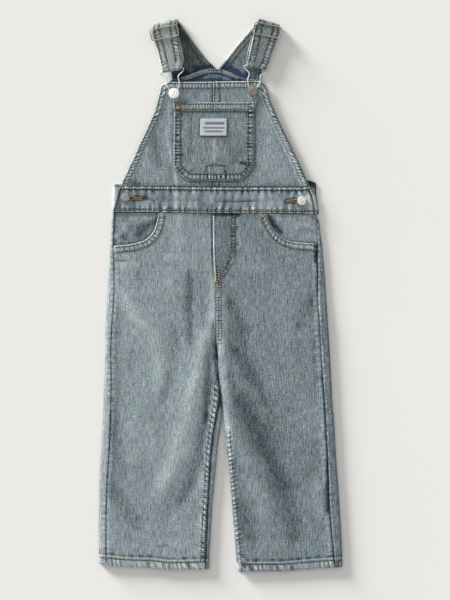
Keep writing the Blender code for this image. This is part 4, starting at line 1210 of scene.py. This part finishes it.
# Folds of the front waistband, as in FRONT_FOLDS; their tones are partly fading and partly painted
# shade.
WAIST_FOLDS = (
    (((-8, 130.6), (20, 130.2), (52, 131.4)), 1.2, -0.25, -0.2, 0.3),
    (((-61, 118), (-60, 148)), 3, 0.3, 0.14),
    (((-46, 124), (-44, 146)), 2.6, -0.2, -0.04),
    (((-79, 120), (-76, 145)), 3.2, -0.25, -0.08),
    (((-28, 119), (-30, 140)), 2.6, -0.25, -0.1),
    (((-12, 124), (-14, 147)), 3.2, 0.25, 0.08),
    (((6, 118), (8, 146)), 2.8, -0.25, -0.09),
    (((22, 120), (20, 147)), 3, 0.2, 0.07),
    (((44, 152), (56, 146)), 4, 0.2, 0.1),
    (((60, 120), (58, 147)), 3.4, 0.25, 0.08),
    (((70, 120), (71, 132)), 4, 0.1, 0.14),
    (((121, 141), (127, 114)), 5.4, 0.2, 0.3),
    (((34, 119.4), (82, 119)), 4, 0, 0.16),
    (((40, 136), (78, 136)), 11, 0, 0.09),
    (((-134, 124), (-102, 123)), 6, 0, 0.12),
    (((-116, 117.4), (-92, 117.6)), 4, 0, 0.16),
    (((-106, 134), (-20, 131)), 3, -0.18, -0.05),
    (((-10, 133), (80, 131)), 3, -0.18, -0.06),
    (((-101, 128), (-90, 139)), 3.4, 0.2, 0.09),
    (((112, 141), (122, 124)), 3, 0.2, 0.1),
    (((-106, 131), (-103, 141)), 3, -0.2, -0.16),
    (((96.6, 147.6), (97.4, 139)), 2.3, -0.2, -0.12, 1.2),
    (((105.4, 147.4), (107.4, 140)), 2.1, -0.2, -0.1, 1.2),
    (((101.4, 147), (99.6, 137.6)), 1.5, 0.25, 0.34),
    (((110.4, 145), (112.4, 138)), 1.5, 0.2, 0.24),
    (((-109, 137.6), (-98, 133.4), (-90, 129)), 2.6, -0.25, -0.16, 0.5),
    (((-52, 119), (-50, 123)), 4, 0.1, 0.1, 0.3),
    (((-24, 120), (-22.6, 130)), 2.6, -0.2, -0.16, 0.8),
    (((-12, 120), (-11.6, 128)), 1.8, -0.2, -0.18, 0.4),
    (((108, 122), (110, 128)), 2.2, -0.2, -0.12, 0.7),
    # These two: painted shade round the buttonholes.
    (((-127, 135.7), (-108, 134.7)), 3.4, -0.1, -0.7),
    (((110, 131.9), (90, 130.9)), 3.4, -0.1, -0.7),
)


def back_waistband():
    """The back waistband, of which only the two ends show past the front one."""
    cloth = patch("back_waistband", 1.6, 1.6)
    rows = waist_lines(cloth, 2.4, 2.6)
    cloth.rumple(30.0, 0.15, 65, 0.03)
    for line, seed in zip(rows, (66, 67)):
        cloth.pucker(line, 6.0, 6.0, 0.12, 0.12, seed)
        cloth.needle(line)
    for side in ("high", "low", "right", "left"):
        cloth.edge(cloth.rim(side), 1.2, 0.3, 0.08)
    # At the right end: painted shade along its rim and in its top corner beside the front waistband,
    # and a pale strip painted brighter to offset the front waistband's cast shadow.
    cloth.band(cloth.rim("right"), 0.6, 1.2, 0.0, -0.45)
    cloth.fold(((122.0, 158.0), (134.0, 152.0)), 4.0, 0.0, -0.6)
    cloth.fold(((129.6, 141.0), (135.6, 118.0)), 2.2, 0.2, 0.5)
    cloth.fold(((-148.0, 152.0), (-147.0, 118.0)), 4.0, 0.1, 0.25)
    piece = cloth.build("back_waistband", 0.5, FINISH["waist"], thick=WAISTBAND, floor=True)
    threads = Thread(68)
    for line, tone in zip(rows, (0.8, 0.7)):
        threads.sew(cloth, line, tone)
    threads.build("back_waistband")


# Bib


def bib_half(side):
    """Half of the bib: a roped hem down its side, a stitched hem on top and the middle seam."""
    node = f"bib_{side}"
    cloth = patch(node)
    outer, inner = cloth.rim(OUTER[side]), cloth.rim(INNER[side])
    head, foot = cloth.rim("high"), cloth.rim("low")
    inward = TOWARD[side]  # the left of an outer edge, going up it, is inside on the right half
    cloth.rumple(34.0, 0.25, 71 + NUMBER[side], 0.015)
    cloth.lay(BIB_FOLDS[side])
    lines = {
        "side": outer.beside(inward * 1.9),
        "side_inner": outer.beside(inward * 8.4),
        "top": head.beside(-1.9),
        "top_inner": head.beside(-8.6),
    }
    cloth.band(outer, inward * 4.8, 4.6, 0.2, 0.08)
    cloth.pucker(outer, 4.4, 5.6, 0.36, 0.26, 73, slant=-0.9 * inward, shift=inward * 4.6, blue=0.2)
    cloth.edge(outer, 0.9, 0.4, 0.12)
    cloth.band(outer, inward * 10.2, 1.0, 0.1, 0.18)
    cloth.pucker(head, 4.2, 4.2, 0.22, 0.24, 74, shift=-5.0, blue=0.2)
    cloth.edge(head, 0.9, 0.35, 0.24)
    cloth.band(head, -6.5, 6.0, 0.0, 0.1)
    # Painted shade along the foot, above the waistband, and painted shadow round the pocket.
    cloth.edge(foot, 3.0, 0.2, -0.16)
    cloth.edge(pocket_outline(patch("bib_pocket")), 1.0, 0.2, -0.4)
    if side == "r":
        cloth.edge(inner, 1.0, 0.3, 0.24)
        cloth.band(inner, 3.6, 2.6, 0.3, 0.14)
        lines["middle"] = inner.beside(-1.6)
        lines["middle_inner"] = inner.beside(-8.2)
        cloth.pucker(inner, 4.0, 4.6, 0.18, 0.12, 75, shift=-5.0)
    else:
        # Painted shadow where the right half laps over the left one.
        cloth.edge(inner, 1.3, 0.4, -0.44)
    for name, line in lines.items():
        cloth.needle(line, 0.12, -0.08 if name == "side_inner" else -0.2)
    piece = cloth.build(node, BIB_WASH[side], FINISH[node], thick=1.3)
    threads = Thread(76 + NUMBER[side])
    for name, line in lines.items():
        threads.sew(cloth, line, 0.26, fill=0.42, hole_shade=1.0 if name == "side_inner" else 1.75)
    threads.build(node)


BIB_WASH = {"l": 0.495, "r": 0.51}
# Folds of each half of the bib, as in FRONT_FOLDS; their tones are partly fading and partly painted
# shade.
BIB_FOLDS = {
    "l": (
        (((-60, 150), (-62, 170), (-70, 204), (-76, 226)), 2.8, 0.5, 0.15),
        (((-92, 222), (-88, 196), (-84, 176)), 6, -0.6, -0.12),
        (((-78, 262), (-98, 214)), 6, -0.3, -0.06),
        (((-100, 206), (-106, 180)), 6, 0.4, 0.07),
        (((-69, 180), (-68, 156)), 3, -0.3, -0.08),
        (((-70, 262), (-72, 210)), 5, 0.2, 0.04),
        (((-120, 176), (-84, 160)), 9, 0.2, 0.03),
        (((-84, 282), (-73, 284.6)), 4, -0.2, 0.2, 1.4),
        (((-81, 291), (-66, 293.4)), 2.6, 0.1, 0.3),
        (((-30, 284), (-34, 276)), 4, -0.2, -0.05),
        (((-127, 158), (-112, 154)), 4, -0.2, -0.2),
    ),
    "r": (
        (((60, 262), (74, 210)), 6, 0.25, 0.05),
        (((70, 250), (92, 200)), 5, -0.2, -0.04),
        (((58, 196), (96, 168)), 10, 0.2, 0.03),
        (((66, 288), (72, 278)), 2.6, -0.3, -0.24),
        (((100, 176), (112, 162)), 7, -0.2, -0.04),
    ),
}


def pocket_outline(cloth):
    """The pocket's two sides and its foot as one line, from its mouth round and up again."""
    left, foot, right = (cloth.rim(side).points for side in ("left", "low", "right"))
    return Line(np.concatenate([left[::-1], foot[1:-1], right]))


def bib_pocket():
    """The patch pocket: a pale hemmed mouth and two rows of stitches round its sides and foot."""
    cloth = patch("bib_pocket")
    outline, head = pocket_outline(cloth), cloth.rim("high")
    cloth.rumple(30.0, 0.22, 81, 0.02)
    cloth.lay(POCKET_FOLDS)
    cloth.pucker(outline, 5.0, 5.4, 0.34, 0.33, 82, shift=5.6, blue=0.7)
    cloth.edge(outline, 0.9, 0.4, 0.16)
    cloth.edge(pocket_outline(patch("label")), 0.8, 0.1, -0.4)
    cloth.band(head, -5.5, 5.2, 0.1, 0.1)
    cloth.pucker(head, 5.0, 4.2, 0.22, 0.26, 83, shift=-5.0)
    cloth.edge(head, 0.8, 0.35, 0.02)
    cloth.band(head, -11.0, 0.9, 0.0, 0.1)
    cloth.band(head, -13.2, 1.3, -0.12, -0.12, 0.4)
    # Each row of stitches: the edge it follows, how far from it, its tone and how full it is.
    rows = ((outline, 2.6, 0.28, 0.42), (outline, 9.4, 0.2, 0.36))
    rows += ((head, -1.8, 0.32, 0.42), (head, -9.6, 0.4, 0.46))
    for edge, away, _, _ in rows:
        cloth.needle(edge.beside(away), 0.12, -0.2)
    piece = cloth.build("bib_pocket", 0.445, FINISH["pocket"])
    threads = Thread(84)
    for edge, away, tone, fill in rows:
        threads.sew(cloth, edge.beside(away), tone, fill=fill)
    bartack(threads, cloth, (-64.5, 266.4), (-58.0, 266.4), 3.4, 0.95)
    bartack(threads, cloth, (-62.0, 261.6), (-54.0, 261.0), 4.2, 0.72, 1.7)
    bartack(threads, cloth, (-52.0, 261.6), (-40.0, 261.6), 4.6, 0.6, 2.6)
    bartack(threads, cloth, (43.0, 266.2), (48.0, 266.2), 3.0, 0.5)
    threads.build("bib_pocket")


# Folds of the pocket, as in FRONT_FOLDS; their tones are partly fading and partly painted shade.
POCKET_FOLDS = (
    (((-41, 254), (-41, 186)), 1.4, -0.15, -0.08),
    (((13, 238), (14, 190)), 2, -0.15, -0.05),
    (((-52, 232), (-50, 196)), 6, 0.25, 0.04),
    (((32, 202), (4, 168)), 8, -0.3, -0.09),
    (((-20, 196), (0, 190)), 7, 0.25, 0.03),
    (((-6, 220), (-4, 190)), 6, 0.3, 0.06),
    (((26, 185.2), (46, 181)), 1.9, -0.25, -0.4, 1),
    (((-46, 175), (-32, 179.4), (-18, 180.6), (-4, 179.4), (10, 175.4)), 1.4, 0.2, 0.03),
    (((-22, 180.4), (-8, 181.2), (9, 179.6)), 1.2, -0.2, -0.22, 0.5),
    (((-8.6, 218), (-7.6, 184)), 1.8, 0.2, 0.13),
    (((-42, 176), (-38, 168)), 2, -0.2, -0.14),
    (((-19, 178), (-20, 162)), 1.8, -0.2, -0.16),
    (((7, 174), (9, 164)), 2, -0.2, -0.16),
    (((-61, 197), (-52, 195)), 2.4, -0.2, -0.2, 1),
    (((-62, 216), (-61, 206)), 3, 0.1, 0.16),
    (((-61, 250), (-52, 252)), 2.2, -0.2, -0.16, 0.8),
    (((36, 250), (46, 247)), 1.8, -0.2, -0.2, 0.6),
    (((38, 244), (46, 250)), 3, 0.2, 0.06),
    (((-8, 176), (4, 172)), 5, 0.2, 0.04),
)


def label():
    """The woven label: a bordered ribbon with three plain woven bars."""
    cloth = patch("label", 0.8, 0.8)
    part_x, part_y = ((at - at.min()) / (at.max() - at.min()) for at in (cloth.x, cloth.y))
    bars = np.zeros(cloth.x.shape, bool)
    for middle, half, start, end in LABEL_BARS:
        bars |= (np.abs(part_y - middle) < half) & (part_x > start) & (part_x < end)
    cloth.wash -= bars * 0.6
    cloth.relief += 0.05 * Noise(91)(cloth.x / 4.0, cloth.y / 4.0)
    for side in ("low", "high", "left", "right"):
        cloth.edge(cloth.rim(side), 0.8, 0.15, -0.3)
    piece = cloth.build("label", 0.83, FINISH["label"], thick=0.6)


# Each plain bar of the label: the height of its middle, half its own height, its start and its end.
LABEL_BARS = ((0.72, 0.085, 0.18, 0.9), (0.47, 0.05, 0.12, 0.92), (0.26, 0.06, 0.16, 0.86))


def back_bib_half(side):
    """Half of the back bib, whose unfaded inside shows between the straps."""
    node = f"back_bib_{side}"
    cloth = patch(node, 2.2, 2.2)
    cloth.rumple(26.0, 0.2, 92 + NUMBER[side], 0.04)
    cloth.edge(cloth.rim(OUTER[side]), 1.2, 0.3, 0.15)
    cloth.edge(cloth.rim("high"), 1.2, 0.2, 0.2)
    cloth.fold(((-24.0, 303.6), (-14.0, 306.6), (0.0, 306.0), (15.0, 301.0)), 2.2, 0.2, 0.44)
    piece = cloth.build(node, 0.16, FINISH["inside"], floor=True)


def back_facing():
    """The band along the arch of the back bib, with its rows of stitches and its middle seam."""
    cloth = patch("back_facing", 1.0, 0.7)
    top, foot = cloth.rim("high"), cloth.rim("low")
    rows = (top.beside(-1.2), foot.beside(1.2))
    cloth.pucker(top.beside(-3.4), 3.0, 3.4, 0.2, 0.3, 94)
    cloth.edge(top, 0.8, 0.3, 0.3)
    cloth.edge(foot, 0.7, 0.3, -0.2)
    cloth.fold(((1.6, 318.0), (2.4, 307.0)), 0.9, -0.3, -0.3)
    cloth.fold(((-54.0, 302.0), (-22.0, 311.0)), 7.0, 0.0, -0.14)
    cloth.fold(((18.0, 310.0), (50.0, 297.0)), 7.0, 0.0, -0.16)
    for row, tone in zip(rows, (-0.42, -0.26)):
        cloth.needle(row, 0.14, tone)
    piece = cloth.build("back_facing", 0.5, FINISH["arch"])
    threads = Thread(95)
    for row in rows:
        threads.sew(cloth, row, 0.16, step=3.4, radius=0.54, fill=0.5)
    threads.build("back_facing")


# Straps

WEBBING = 1.6  # thickness of a strap
TAIL_HEIGHT = 3.2  # of the end that comes back beneath the front, whose own height follows
FRONT_HEIGHT = 7.0
TAIL_SHIFT = 2.6  # how far that end lies towards the middle
SHOULDER_STEPS = 14
STRAP_ROWS = (2.4, 9.6)  # from the edge of a strap to each of its rows of stitches
STRAP_WASH = {"l": 0.65, "r": 0.475}
STRAP_BACK = {"l": 0.25, "r": 0.38}

# Sections of each strap behind and in front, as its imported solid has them: the outer and the inner
# end of each. The shoulder is the outline of the fold on top.
STRAPS = {
    "l": {
        "behind": (
            ((-66, 294), (-3.4, 294)), ((-68.8, 313.5), (-4.4, 315.2)), ((-72, 329), (-19.4, 329.6)),
            ((-78, 346), (-32.4, 346.6)), ((-84.6, 361.6), (-44.2, 363)),
        ),
        "front": (
            ((-96.2, 368.2), (-61.4, 375.6)), ((-93.4, 355.6), (-60.6, 361.4)),
            ((-88, 340), (-56.6, 343.8)), ((-84.2, 325), (-53.4, 329)),
        ),
        "shoulder": ((-95.6, 377.6), (-60, 387)),
    },
    "r": {
        "behind": (
            ((56.6, 294), (-2.9, 294)), ((58, 313.5), (-2.2, 316)), ((60.8, 329), (8.2, 329.6)),
            ((65, 346), (21.6, 346.8)), ((70.4, 360), (35.4, 362.8)),
        ),
        "front": (
            ((83.2, 367), (48.2, 374.2)), ((78.4, 354.4), (45.8, 362)),
            ((71, 336), (41, 342)), ((67.6, 323.4), (38.2, 329)),
        ),
        "shoulder": ((83.2, 378.2), (53.4, 386.6)),
    },
}


def pairs_of(sections, height):
    """The outer and the inner end of each section of a strap, at a height."""
    return [tuple(Vector((*end, height)) for end in section) for section in sections]


def bend(outline, inside, low, high, steps):
    """Half a turn of the strap, between two heights, that ends at an outline in plan."""
    outer, inner = (Vector((x, y, 0.0)) for x, y in outline)
    run = (inner - outer).normalized()
    back = Vector((-run.y, run.x, 0.0))
    if back.dot(Vector((*inside, 0.0)) - outer) < 0.0:
        back.negate()
    radius = (high - low) / 2
    pairs = []
    for k in range(steps + 1):
        angle = math.pi * k / steps
        shift = back * (radius + WEBBING / 2 - radius * math.sin(angle))
        height = Vector((0.0, 0.0, (low + high) / 2 - radius * math.cos(angle)))
        pairs.append((outer + shift + height, inner + shift + height))
    return pairs


def strap_foot(side):
    """The outline of the strap's lower fold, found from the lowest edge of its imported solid."""
    points = Solid(f"strap_{side}").points
    points = points[(points[:, 2] > 2.3) & (points[:, 1] < 340.0)]
    left, right = points[:, 0].min(), points[:, 0].max()
    third = (right - left) * 0.35
    ends = [
        edge[np.argmin(edge[:, 1]), :2]
        for edge in (points[points[:, 0] < left + third], points[points[:, 0] > right - third])
    ]
    return ends if side == "l" else ends[::-1]


def strap_cloth(side):
    """A strap's cloth, its width at each row and how far along it the shoulder fold ends."""
    shape = STRAPS[side]
    behind, front = shape["behind"], shape["front"]
    middle = front[-1][0]
    pairs = pairs_of(behind, WEBBING / 2)
    pairs += bend(shape["shoulder"], middle, WEBBING / 2, FRONT_HEIGHT, SHOULDER_STEPS)
    pairs += pairs_of(front, FRONT_HEIGHT)
    pairs += bend(strap_foot(side), middle, TAIL_HEIGHT, FRONT_HEIGHT, 12)[::-1]
    tail = [[(x - TOWARD[side] * TAIL_SHIFT, y) for x, y in section] for section in front[:0:-1]]
    pairs += pairs_of(tail, TAIL_HEIGHT)
    outer, inner = (np.array(ends) for ends in zip(*pairs))
    runs = lengths((outer + inner) / 2)
    places = np.linspace(0.0, runs[-1], int(runs[-1] / 1.2))
    outer, inner = (
        np.stack([np.interp(places, runs, edge[:, k]) for k in range(3)], 1) for edge in (outer, inner)
    )
    u = np.linspace(0.0, 1.0, 27)[None, :, None]
    grid = outer[:, None, :] * (1 - u) + inner[:, None, :] * u
    normal = np.cross(np.gradient(grid, axis=0), np.gradient(grid, axis=1))
    normal /= np.linalg.norm(normal, axis=2)[..., None]
    if normal[len(places) * 6 // 10, 13, 2] < 0:
        normal = -normal
    grid = grid + normal * WEBBING / 2
    width = np.linalg.norm(inner - outer, axis=1)[:, None]
    across = u[..., 0] * width
    along = np.broadcast_to(places[:, None], across.shape).copy()
    cloth = Cloth(*np.moveaxis(grid, 2, 0), across=across, along=along, normals=normal)
    return cloth, width, runs[len(behind) + SHOULDER_STEPS]


def strap_hems(cloth, side, width, front_start):
    """The roped hems along both edges of a strap, with the grooves of their stitches."""
    across, along = cloth.across, cloth.along
    noise = Noise(101 + NUMBER[side])
    near_edge = np.minimum(across, width - across)
    hand = np.where(across < width / 2, 0.0, 50.0)
    hatch = np.sin(TURN * ((along + 0.3 * near_edge) / 4.9 + 0.5 * noise(along / 11.0 + hand, 2.0)))
    hatch *= 0.6 + 0.7 * noise(along / 9.0 + hand, 7.0)
    hatch += 0.6 * noise(along / 2.4 + hand, near_edge / 3.0)
    cloth.add(np.minimum(hatch, 0.65) * np.exp(-(((near_edge - 5.6) / 4.4) ** 4)), 0.26, 0.24)
    for place, tone in zip(STRAP_ROWS, (-0.24, -0.3)):
        cloth.add(np.exp(-(((near_edge - place) / 0.8) ** 2)), -0.25, tone)
    cloth.relief -= 0.4 * np.exp(-near_edge / 0.8)
    in_front = smooth((along - front_start) / 4.0) * smooth((front_start + 46.0 - along) / 4.0)
    cloth.wash += 0.12 * np.exp(-near_edge / 1.0) + 0.3 * in_front * np.exp((across - width) / 1.2)
    if side == "r":
        knots = smooth(2.2 * np.sin(TURN * along / 6.8) - 0.6)
        cloth.wash += 0.2 * knots * in_front * np.exp(-(((across - 6.0) / 2.2) ** 2))


def strap_fades(cloth, side, width, front_start):
    """The shoulder fold of a strap with painted shade, its darker back with painted shade near the
    fold, and the blue foot that never faded.
    """
    across, along = cloth.across, cloth.along
    fold = np.exp(-(((along - front_start + 4.0) / 6.5) ** 2))
    behind = smooth((front_start - 6.0 - along) / 3.0)
    # Painted shade along the shoulder fold.
    cloth.wash = cloth.wash * (1 - 0.45 * behind) - 0.2 * fold
    cloth.wash += (STRAP_BACK[side] - STRAP_WASH[side]) * behind
    # Painted shade on the back towards the fold, where the strap's front lies over it.
    cloth.wash -= 0.14 * behind * np.exp(-(((along - front_start + 8.0) / 26.0) ** 2))
    inner_rim = np.exp(-(((width - across - 1.0) / 2.4) ** 2)) * smooth((along - 20.0) / 12.0)
    cloth.wash += 0.3 * behind * inner_rim
    ragged = 14.0 + 0.4 * across + 6.0 * Noise(101 + NUMBER[side])(across / 9.0, along / 9.0)
    unfaded = smooth((ragged - along) / 7.0)
    if side == "r":
        unfaded *= smooth((across - 12.0) / 8.0)
    cloth.blue += unfaded
    cloth.wash -= 0.2 * unfaded


def strap_stitches(cloth, side):
    """The rows along both edges of a strap's front, and along the inner edge of its back."""
    threads = Thread(104 + NUMBER[side])
    front = np.array((STRAPS[side]["front"][0], STRAPS[side]["front"][-1]), float)
    front[0, :, 1] += 7.0
    a, b = front[:, 0], front[:, 1]
    wide = np.linalg.norm(b - a, axis=1)[:, None]
    for place in STRAP_ROWS:
        threads.sew(cloth, Line(a + (b - a) / wide * place), 0.3, step=3.2, fill=0.36)
        threads.sew(cloth, Line(b + (a - b) / wide * place), 0.3, step=3.2, fill=0.36)
    behind = np.array(STRAPS[side]["behind"][1:], float)
    inward = behind[:, 0] - behind[:, 1]
    inward /= np.linalg.norm(inward, axis=1)[:, None]
    for place in STRAP_ROWS:
        threads.sew(cloth, Line(behind[:, 1] + inward * place), 0.16, radius=0.26, fill=0.3)
    threads.build(f"strap_{side}")


def strap(side):
    """A shoulder strap: up the back, over the shoulder fold, down to its buckle and back beneath."""
    node = f"strap_{side}"
    cloth, width, front_start = strap_cloth(side)
    strap_hems(cloth, side, width, front_start)
    cloth.rumple(14.0, 0.12, 103, 0.08)
    strap_fades(cloth, side, width, front_start)
    piece = cloth.build(node, STRAP_WASH[side], FINISH[node], thick=WEBBING, floor=True)
    strap_stitches(cloth, side)


# Buttons and wires


# The steps of a button's face towards its middle: each one's part of the radius and its rise.
BUTTON_FACE = ((0.1, 0.0), (0.08, -0.35), (0.3, 0.0), (0.04, 0.18), (0.06, 0.0), (0.04, -0.18))


def select_faces(piece, way):
    """Selects the faces of the mesh in edit mode that look up (1) or down (-1), and no others."""
    mesh = bmesh.from_edit_mesh(piece.data)
    for face in mesh.faces:
        face.select = face.normal.z * way > 0.9
    mesh.select_flush_mode()
    bmesh.update_edit_mesh(piece.data)


def shank_button(name, node, finish):
    """A pressed button: a rounded rim, a dished face with two raised rings and a short shank."""
    low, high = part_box(node)
    radius = (high.x - low.x) / 2
    middle = (low + high) / 2
    bpy.ops.object.select_all(action="DESELECT")
    thick = 2.4 * MM
    place = (middle.x, middle.y, high.z - thick / 2)
    bpy.ops.mesh.primitive_cylinder_add(vertices=48, radius=radius, depth=thick, location=place)
    piece = bpy.context.object
    piece.name = name
    bpy.ops.object.mode_set(mode="EDIT")
    select_faces(piece, 1)
    for step, drop in BUTTON_FACE:
        bpy.ops.mesh.inset(thickness=radius * step, depth=0.0)
        bpy.ops.transform.translate(value=(0.0, 0.0, drop * MM))
    bpy.ops.mesh.select_all(action="DESELECT")
    select_faces(piece, -1)
    bpy.ops.mesh.inset(thickness=radius * 0.7)
    down = {"value": (0.0, 0.0, low.z - high.z + thick)}
    bpy.ops.mesh.extrude_region_move(TRANSFORM_OT_translate=down)
    bpy.ops.object.mode_set(mode="OBJECT")
    soften = piece.modifiers.new("rounded rim", "BEVEL")
    soften.width = 0.45 * MM
    soften.segments = 3
    soften.limit_method = "ANGLE"
    bpy.ops.object.modifier_apply(modifier=soften.name)
    bpy.ops.object.transform_apply(location=True, rotation=True, scale=True)
    bpy.ops.object.shade_smooth_by_angle(angle=math.radians(35.0))
    # Rings on the face that the metal reads as dullness: darker at the rim, near it and on the inner
    # ring, paler just inside the rim; partly tarnish, partly painted shade and a painted highlight
    # ring.
    out = np.array([(vertex.co - middle).xy.length / radius for vertex in piece.data.vertices])
    worn = 0.9 * (out > 0.95)
    for place, width, amount in ((0.8, 0.08, 1.0), (0.45, 0.09, 0.8), (0.9, 0.04, -0.6)):
        worn += amount * np.exp(-(((out - place) / width) ** 2))
    paint(piece.data, "worn", worn)
    piece.data.materials.clear()
    piece.data.materials.append(finish)
    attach(piece, "root")
    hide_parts(node)


def pressed_metal(name, colour, roughness, tarnish, metallic=1.0):
    """Pressed steel with fine scratches, patches of tarnish and, on the buttons, painted rings of shade
    and highlight read from their own attribute.
    """
    finish = Finish(name)
    place = finish.own_place()
    patches = finish.noise(place, 420.0, 3.0, 0.6)
    scratch = finish.noise(place, (300.0, 2600.0, 300.0), 2.0, 0.6)
    worn = finish.attribute("worn")
    # Dullness darkens the colour: tarnish patches, and on the buttons painted rings of shade and
    # highlight.
    dull = finish.limited(patches * 3.2 + worn * 0.9 + 0.3)
    shade = finish.blend(dull, (*colour, 1.0), (*(c * tarnish for c in colour), 1.0))
    bump = finish.bump(scratch, 0.12, 0.0002)
    finish.set(Base_Color=shade, Roughness=dull * 0.18 + roughness, Normal=bump)
    return finish.set(Metallic=metallic)


def woven(name):
    """The label's satin ribbon, with fine cross threads."""
    finish = Finish(name)
    place = finish.cloth_place()
    wash = finish.attribute("wash")
    threads = finish.noise(place, (400.0, 2400.0, 1.0), 2.0, 0.6)
    patches = finish.noise(place, (520.0, 520.0, 1.0), 2.0, 0.6)
    stops = (
        (0.0, (0.07, 0.08, 0.11)), (0.45, (0.24, 0.26, 0.31)), (0.8, (0.47, 0.49, 0.55)),
        (1.0, (0.7, 0.71, 0.76)),
    )
    colour = finish.ramp(stops, wash + threads * 0.5 + patches * 0.5)
    bump = finish.bump(threads, 0.3, 0.0002)
    return finish.set(Base_Color=colour, Roughness=0.6 + patches * 0.2, Normal=bump)


# The finish of each piece, made once.
FINISH = {
    "leg_l": denim("denim of the left leg"),
    "leg_r": denim("denim of the right leg", shift=0.31),
    "facing": denim("denim of the pocket facings", shift=0.57),
    "waist": denim("denim of the waistbands", 0.7, shift=1.13),
    "bib_l": denim("denim of the left of the bib", shift=1.37),
    "bib_r": denim("denim of the right of the bib", shift=1.71),
    "pocket": denim("denim of the bib pocket", shift=1.93, tint=(1.02, 1.0, 0.96)),
    "inside": denim("unfaded denim", 0.5, shift=2.17, tint=(0.8, 0.98, 1.2)),
    "strap_l": denim("denim of the left strap", 0.7, shift=2.41, tint=(1.08, 1.0, 0.92)),
    "strap_r": denim("denim of the right strap", 0.7, shift=2.77, tint=(1.04, 1.0, 0.95)),
    "arch": denim("denim of the arched facing", 0.6, shift=3.07),
    "label": woven("woven ribbon"),
    "thread": thread("topstitch thread"),
    "bright": pressed_metal("bright steel", (0.99, 0.99, 0.98), 0.34, 0.44, 0.2),
    "side_bright": pressed_metal("satin side button", (0.87, 0.865, 0.82), 0.38, 0.5, 0.6),
    "dull": pressed_metal("dull steel", (0.325, 0.3, 0.278), 0.45, 0.1, 0.6),
    "side_dull": pressed_metal("dull side button", (0.385, 0.375, 0.345), 0.45, 0.1, 0.6),
    "wire": pressed_metal("steel wire", (0.68, 0.70, 0.71), 0.34, 0.5, 0.5),
    "slider": pressed_metal("dull slider wire", (0.41, 0.41, 0.39), 0.35, 0.5, 0.8),
}


def dress_legs():
    """The legs with their hips and the fly, from the floor up."""
    fronts = []
    for side in SIDES:
        back_leg(side)
        front, lines = front_leg(side)
        fronts.append(front)
        front_stitches(side, front, lines)
        pocket_facing(side)
    fly(fronts)


def dress_top():
    """The waistbands, the bib with its pocket and label, and the straps."""
    front_waistband()
    back_waistband()
    for side in SIDES:
        bib_half(side)
        back_bib_half(side)
        strap(side)
    bib_pocket()
    label()
    back_facing()


def dress_metal():
    """The four pressed buttons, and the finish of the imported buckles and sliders."""
    for node, finish, slot in (
        ("bib_button_l", "bright", "bright_button"),
        ("bib_button_r", "dull", "dull_button"),
        ("side_button_l", "side_dull", "dull_button"),
        ("side_button_r", "side_bright", "bright_button"),
    ):
        shank_button(f"{node}_pressed", node, FINISH[finish])
    for node, finish in (("buckle", "wire"), ("slider", "slider")):
        for side in SIDES:
            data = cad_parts[f"{node}_{side}"].data
            data.materials.clear()
            data.materials.append(FINISH[finish])


# Floor, light and camera


FLOOR_HALF = 3.0  # metres, as all that follows
FLOOR_Z = -0.0002
EYE_HEIGHT = 3.2
VIEW_HEIGHT = 0.840
VIEW_MIDDLE = (0.0063, -0.0070)
TO_WINDOW = Vector((-0.698, 0.698, 0.148))  # low daylight, so that the folds and puckers show


def stage():
    """A wide plain floor just under the cloth."""
    data = bpy.data.meshes.new("floor")
    ways = ((-1, -1), (1, -1), (1, 1), (-1, 1))
    corners = [(FLOOR_HALF * x, FLOOR_HALF * y, FLOOR_Z) for x, y in ways]
    data.from_pydata(corners, [], [(0, 1, 2, 3)])
    data.materials.append(pale_floor())
    floor = bpy.data.objects.new("floor", data)
    bpy.context.collection.objects.link(floor)


def light():
    """Soft light from all round, and a broad low sun through a window on the upper left."""
    world = bpy.data.worlds.new("soft room")
    world.use_nodes = True
    background = world.node_tree.nodes["Background"]
    background.inputs["Color"].default_value = (1.0, 0.995, 0.985, 1.0)
    background.inputs["Strength"].default_value = 0.595
    bpy.context.scene.world = world
    lamp = bpy.data.lights.new("window", "SUN")
    lamp.energy = 9.4
    lamp.angle = math.radians(18.0)
    lamp.color = (1.0, 0.985, 0.96)
    window = bpy.data.objects.new("window", lamp)
    window.rotation_euler = TO_WINDOW.to_track_quat("Z", "Y").to_euler()
    bpy.context.collection.objects.link(window)


def camera():
    """A camera straight above, far enough away to see the sides of nothing."""
    lens = bpy.data.cameras.new("camera")
    lens.sensor_fit = "VERTICAL"
    lens.sensor_height = 24.0
    lens.lens = lens.sensor_height * EYE_HEIGHT / VIEW_HEIGHT
    lens.clip_end = 20.0
    eye = bpy.data.objects.new("camera", lens)
    eye.location = (*VIEW_MIDDLE, EYE_HEIGHT)
    bpy.context.collection.objects.link(eye)
    bpy.context.scene.camera = eye
    bpy.context.scene.view_settings.view_transform = "Standard"


stage()
light()
camera()
dress_legs()
dress_top()
dress_metal()
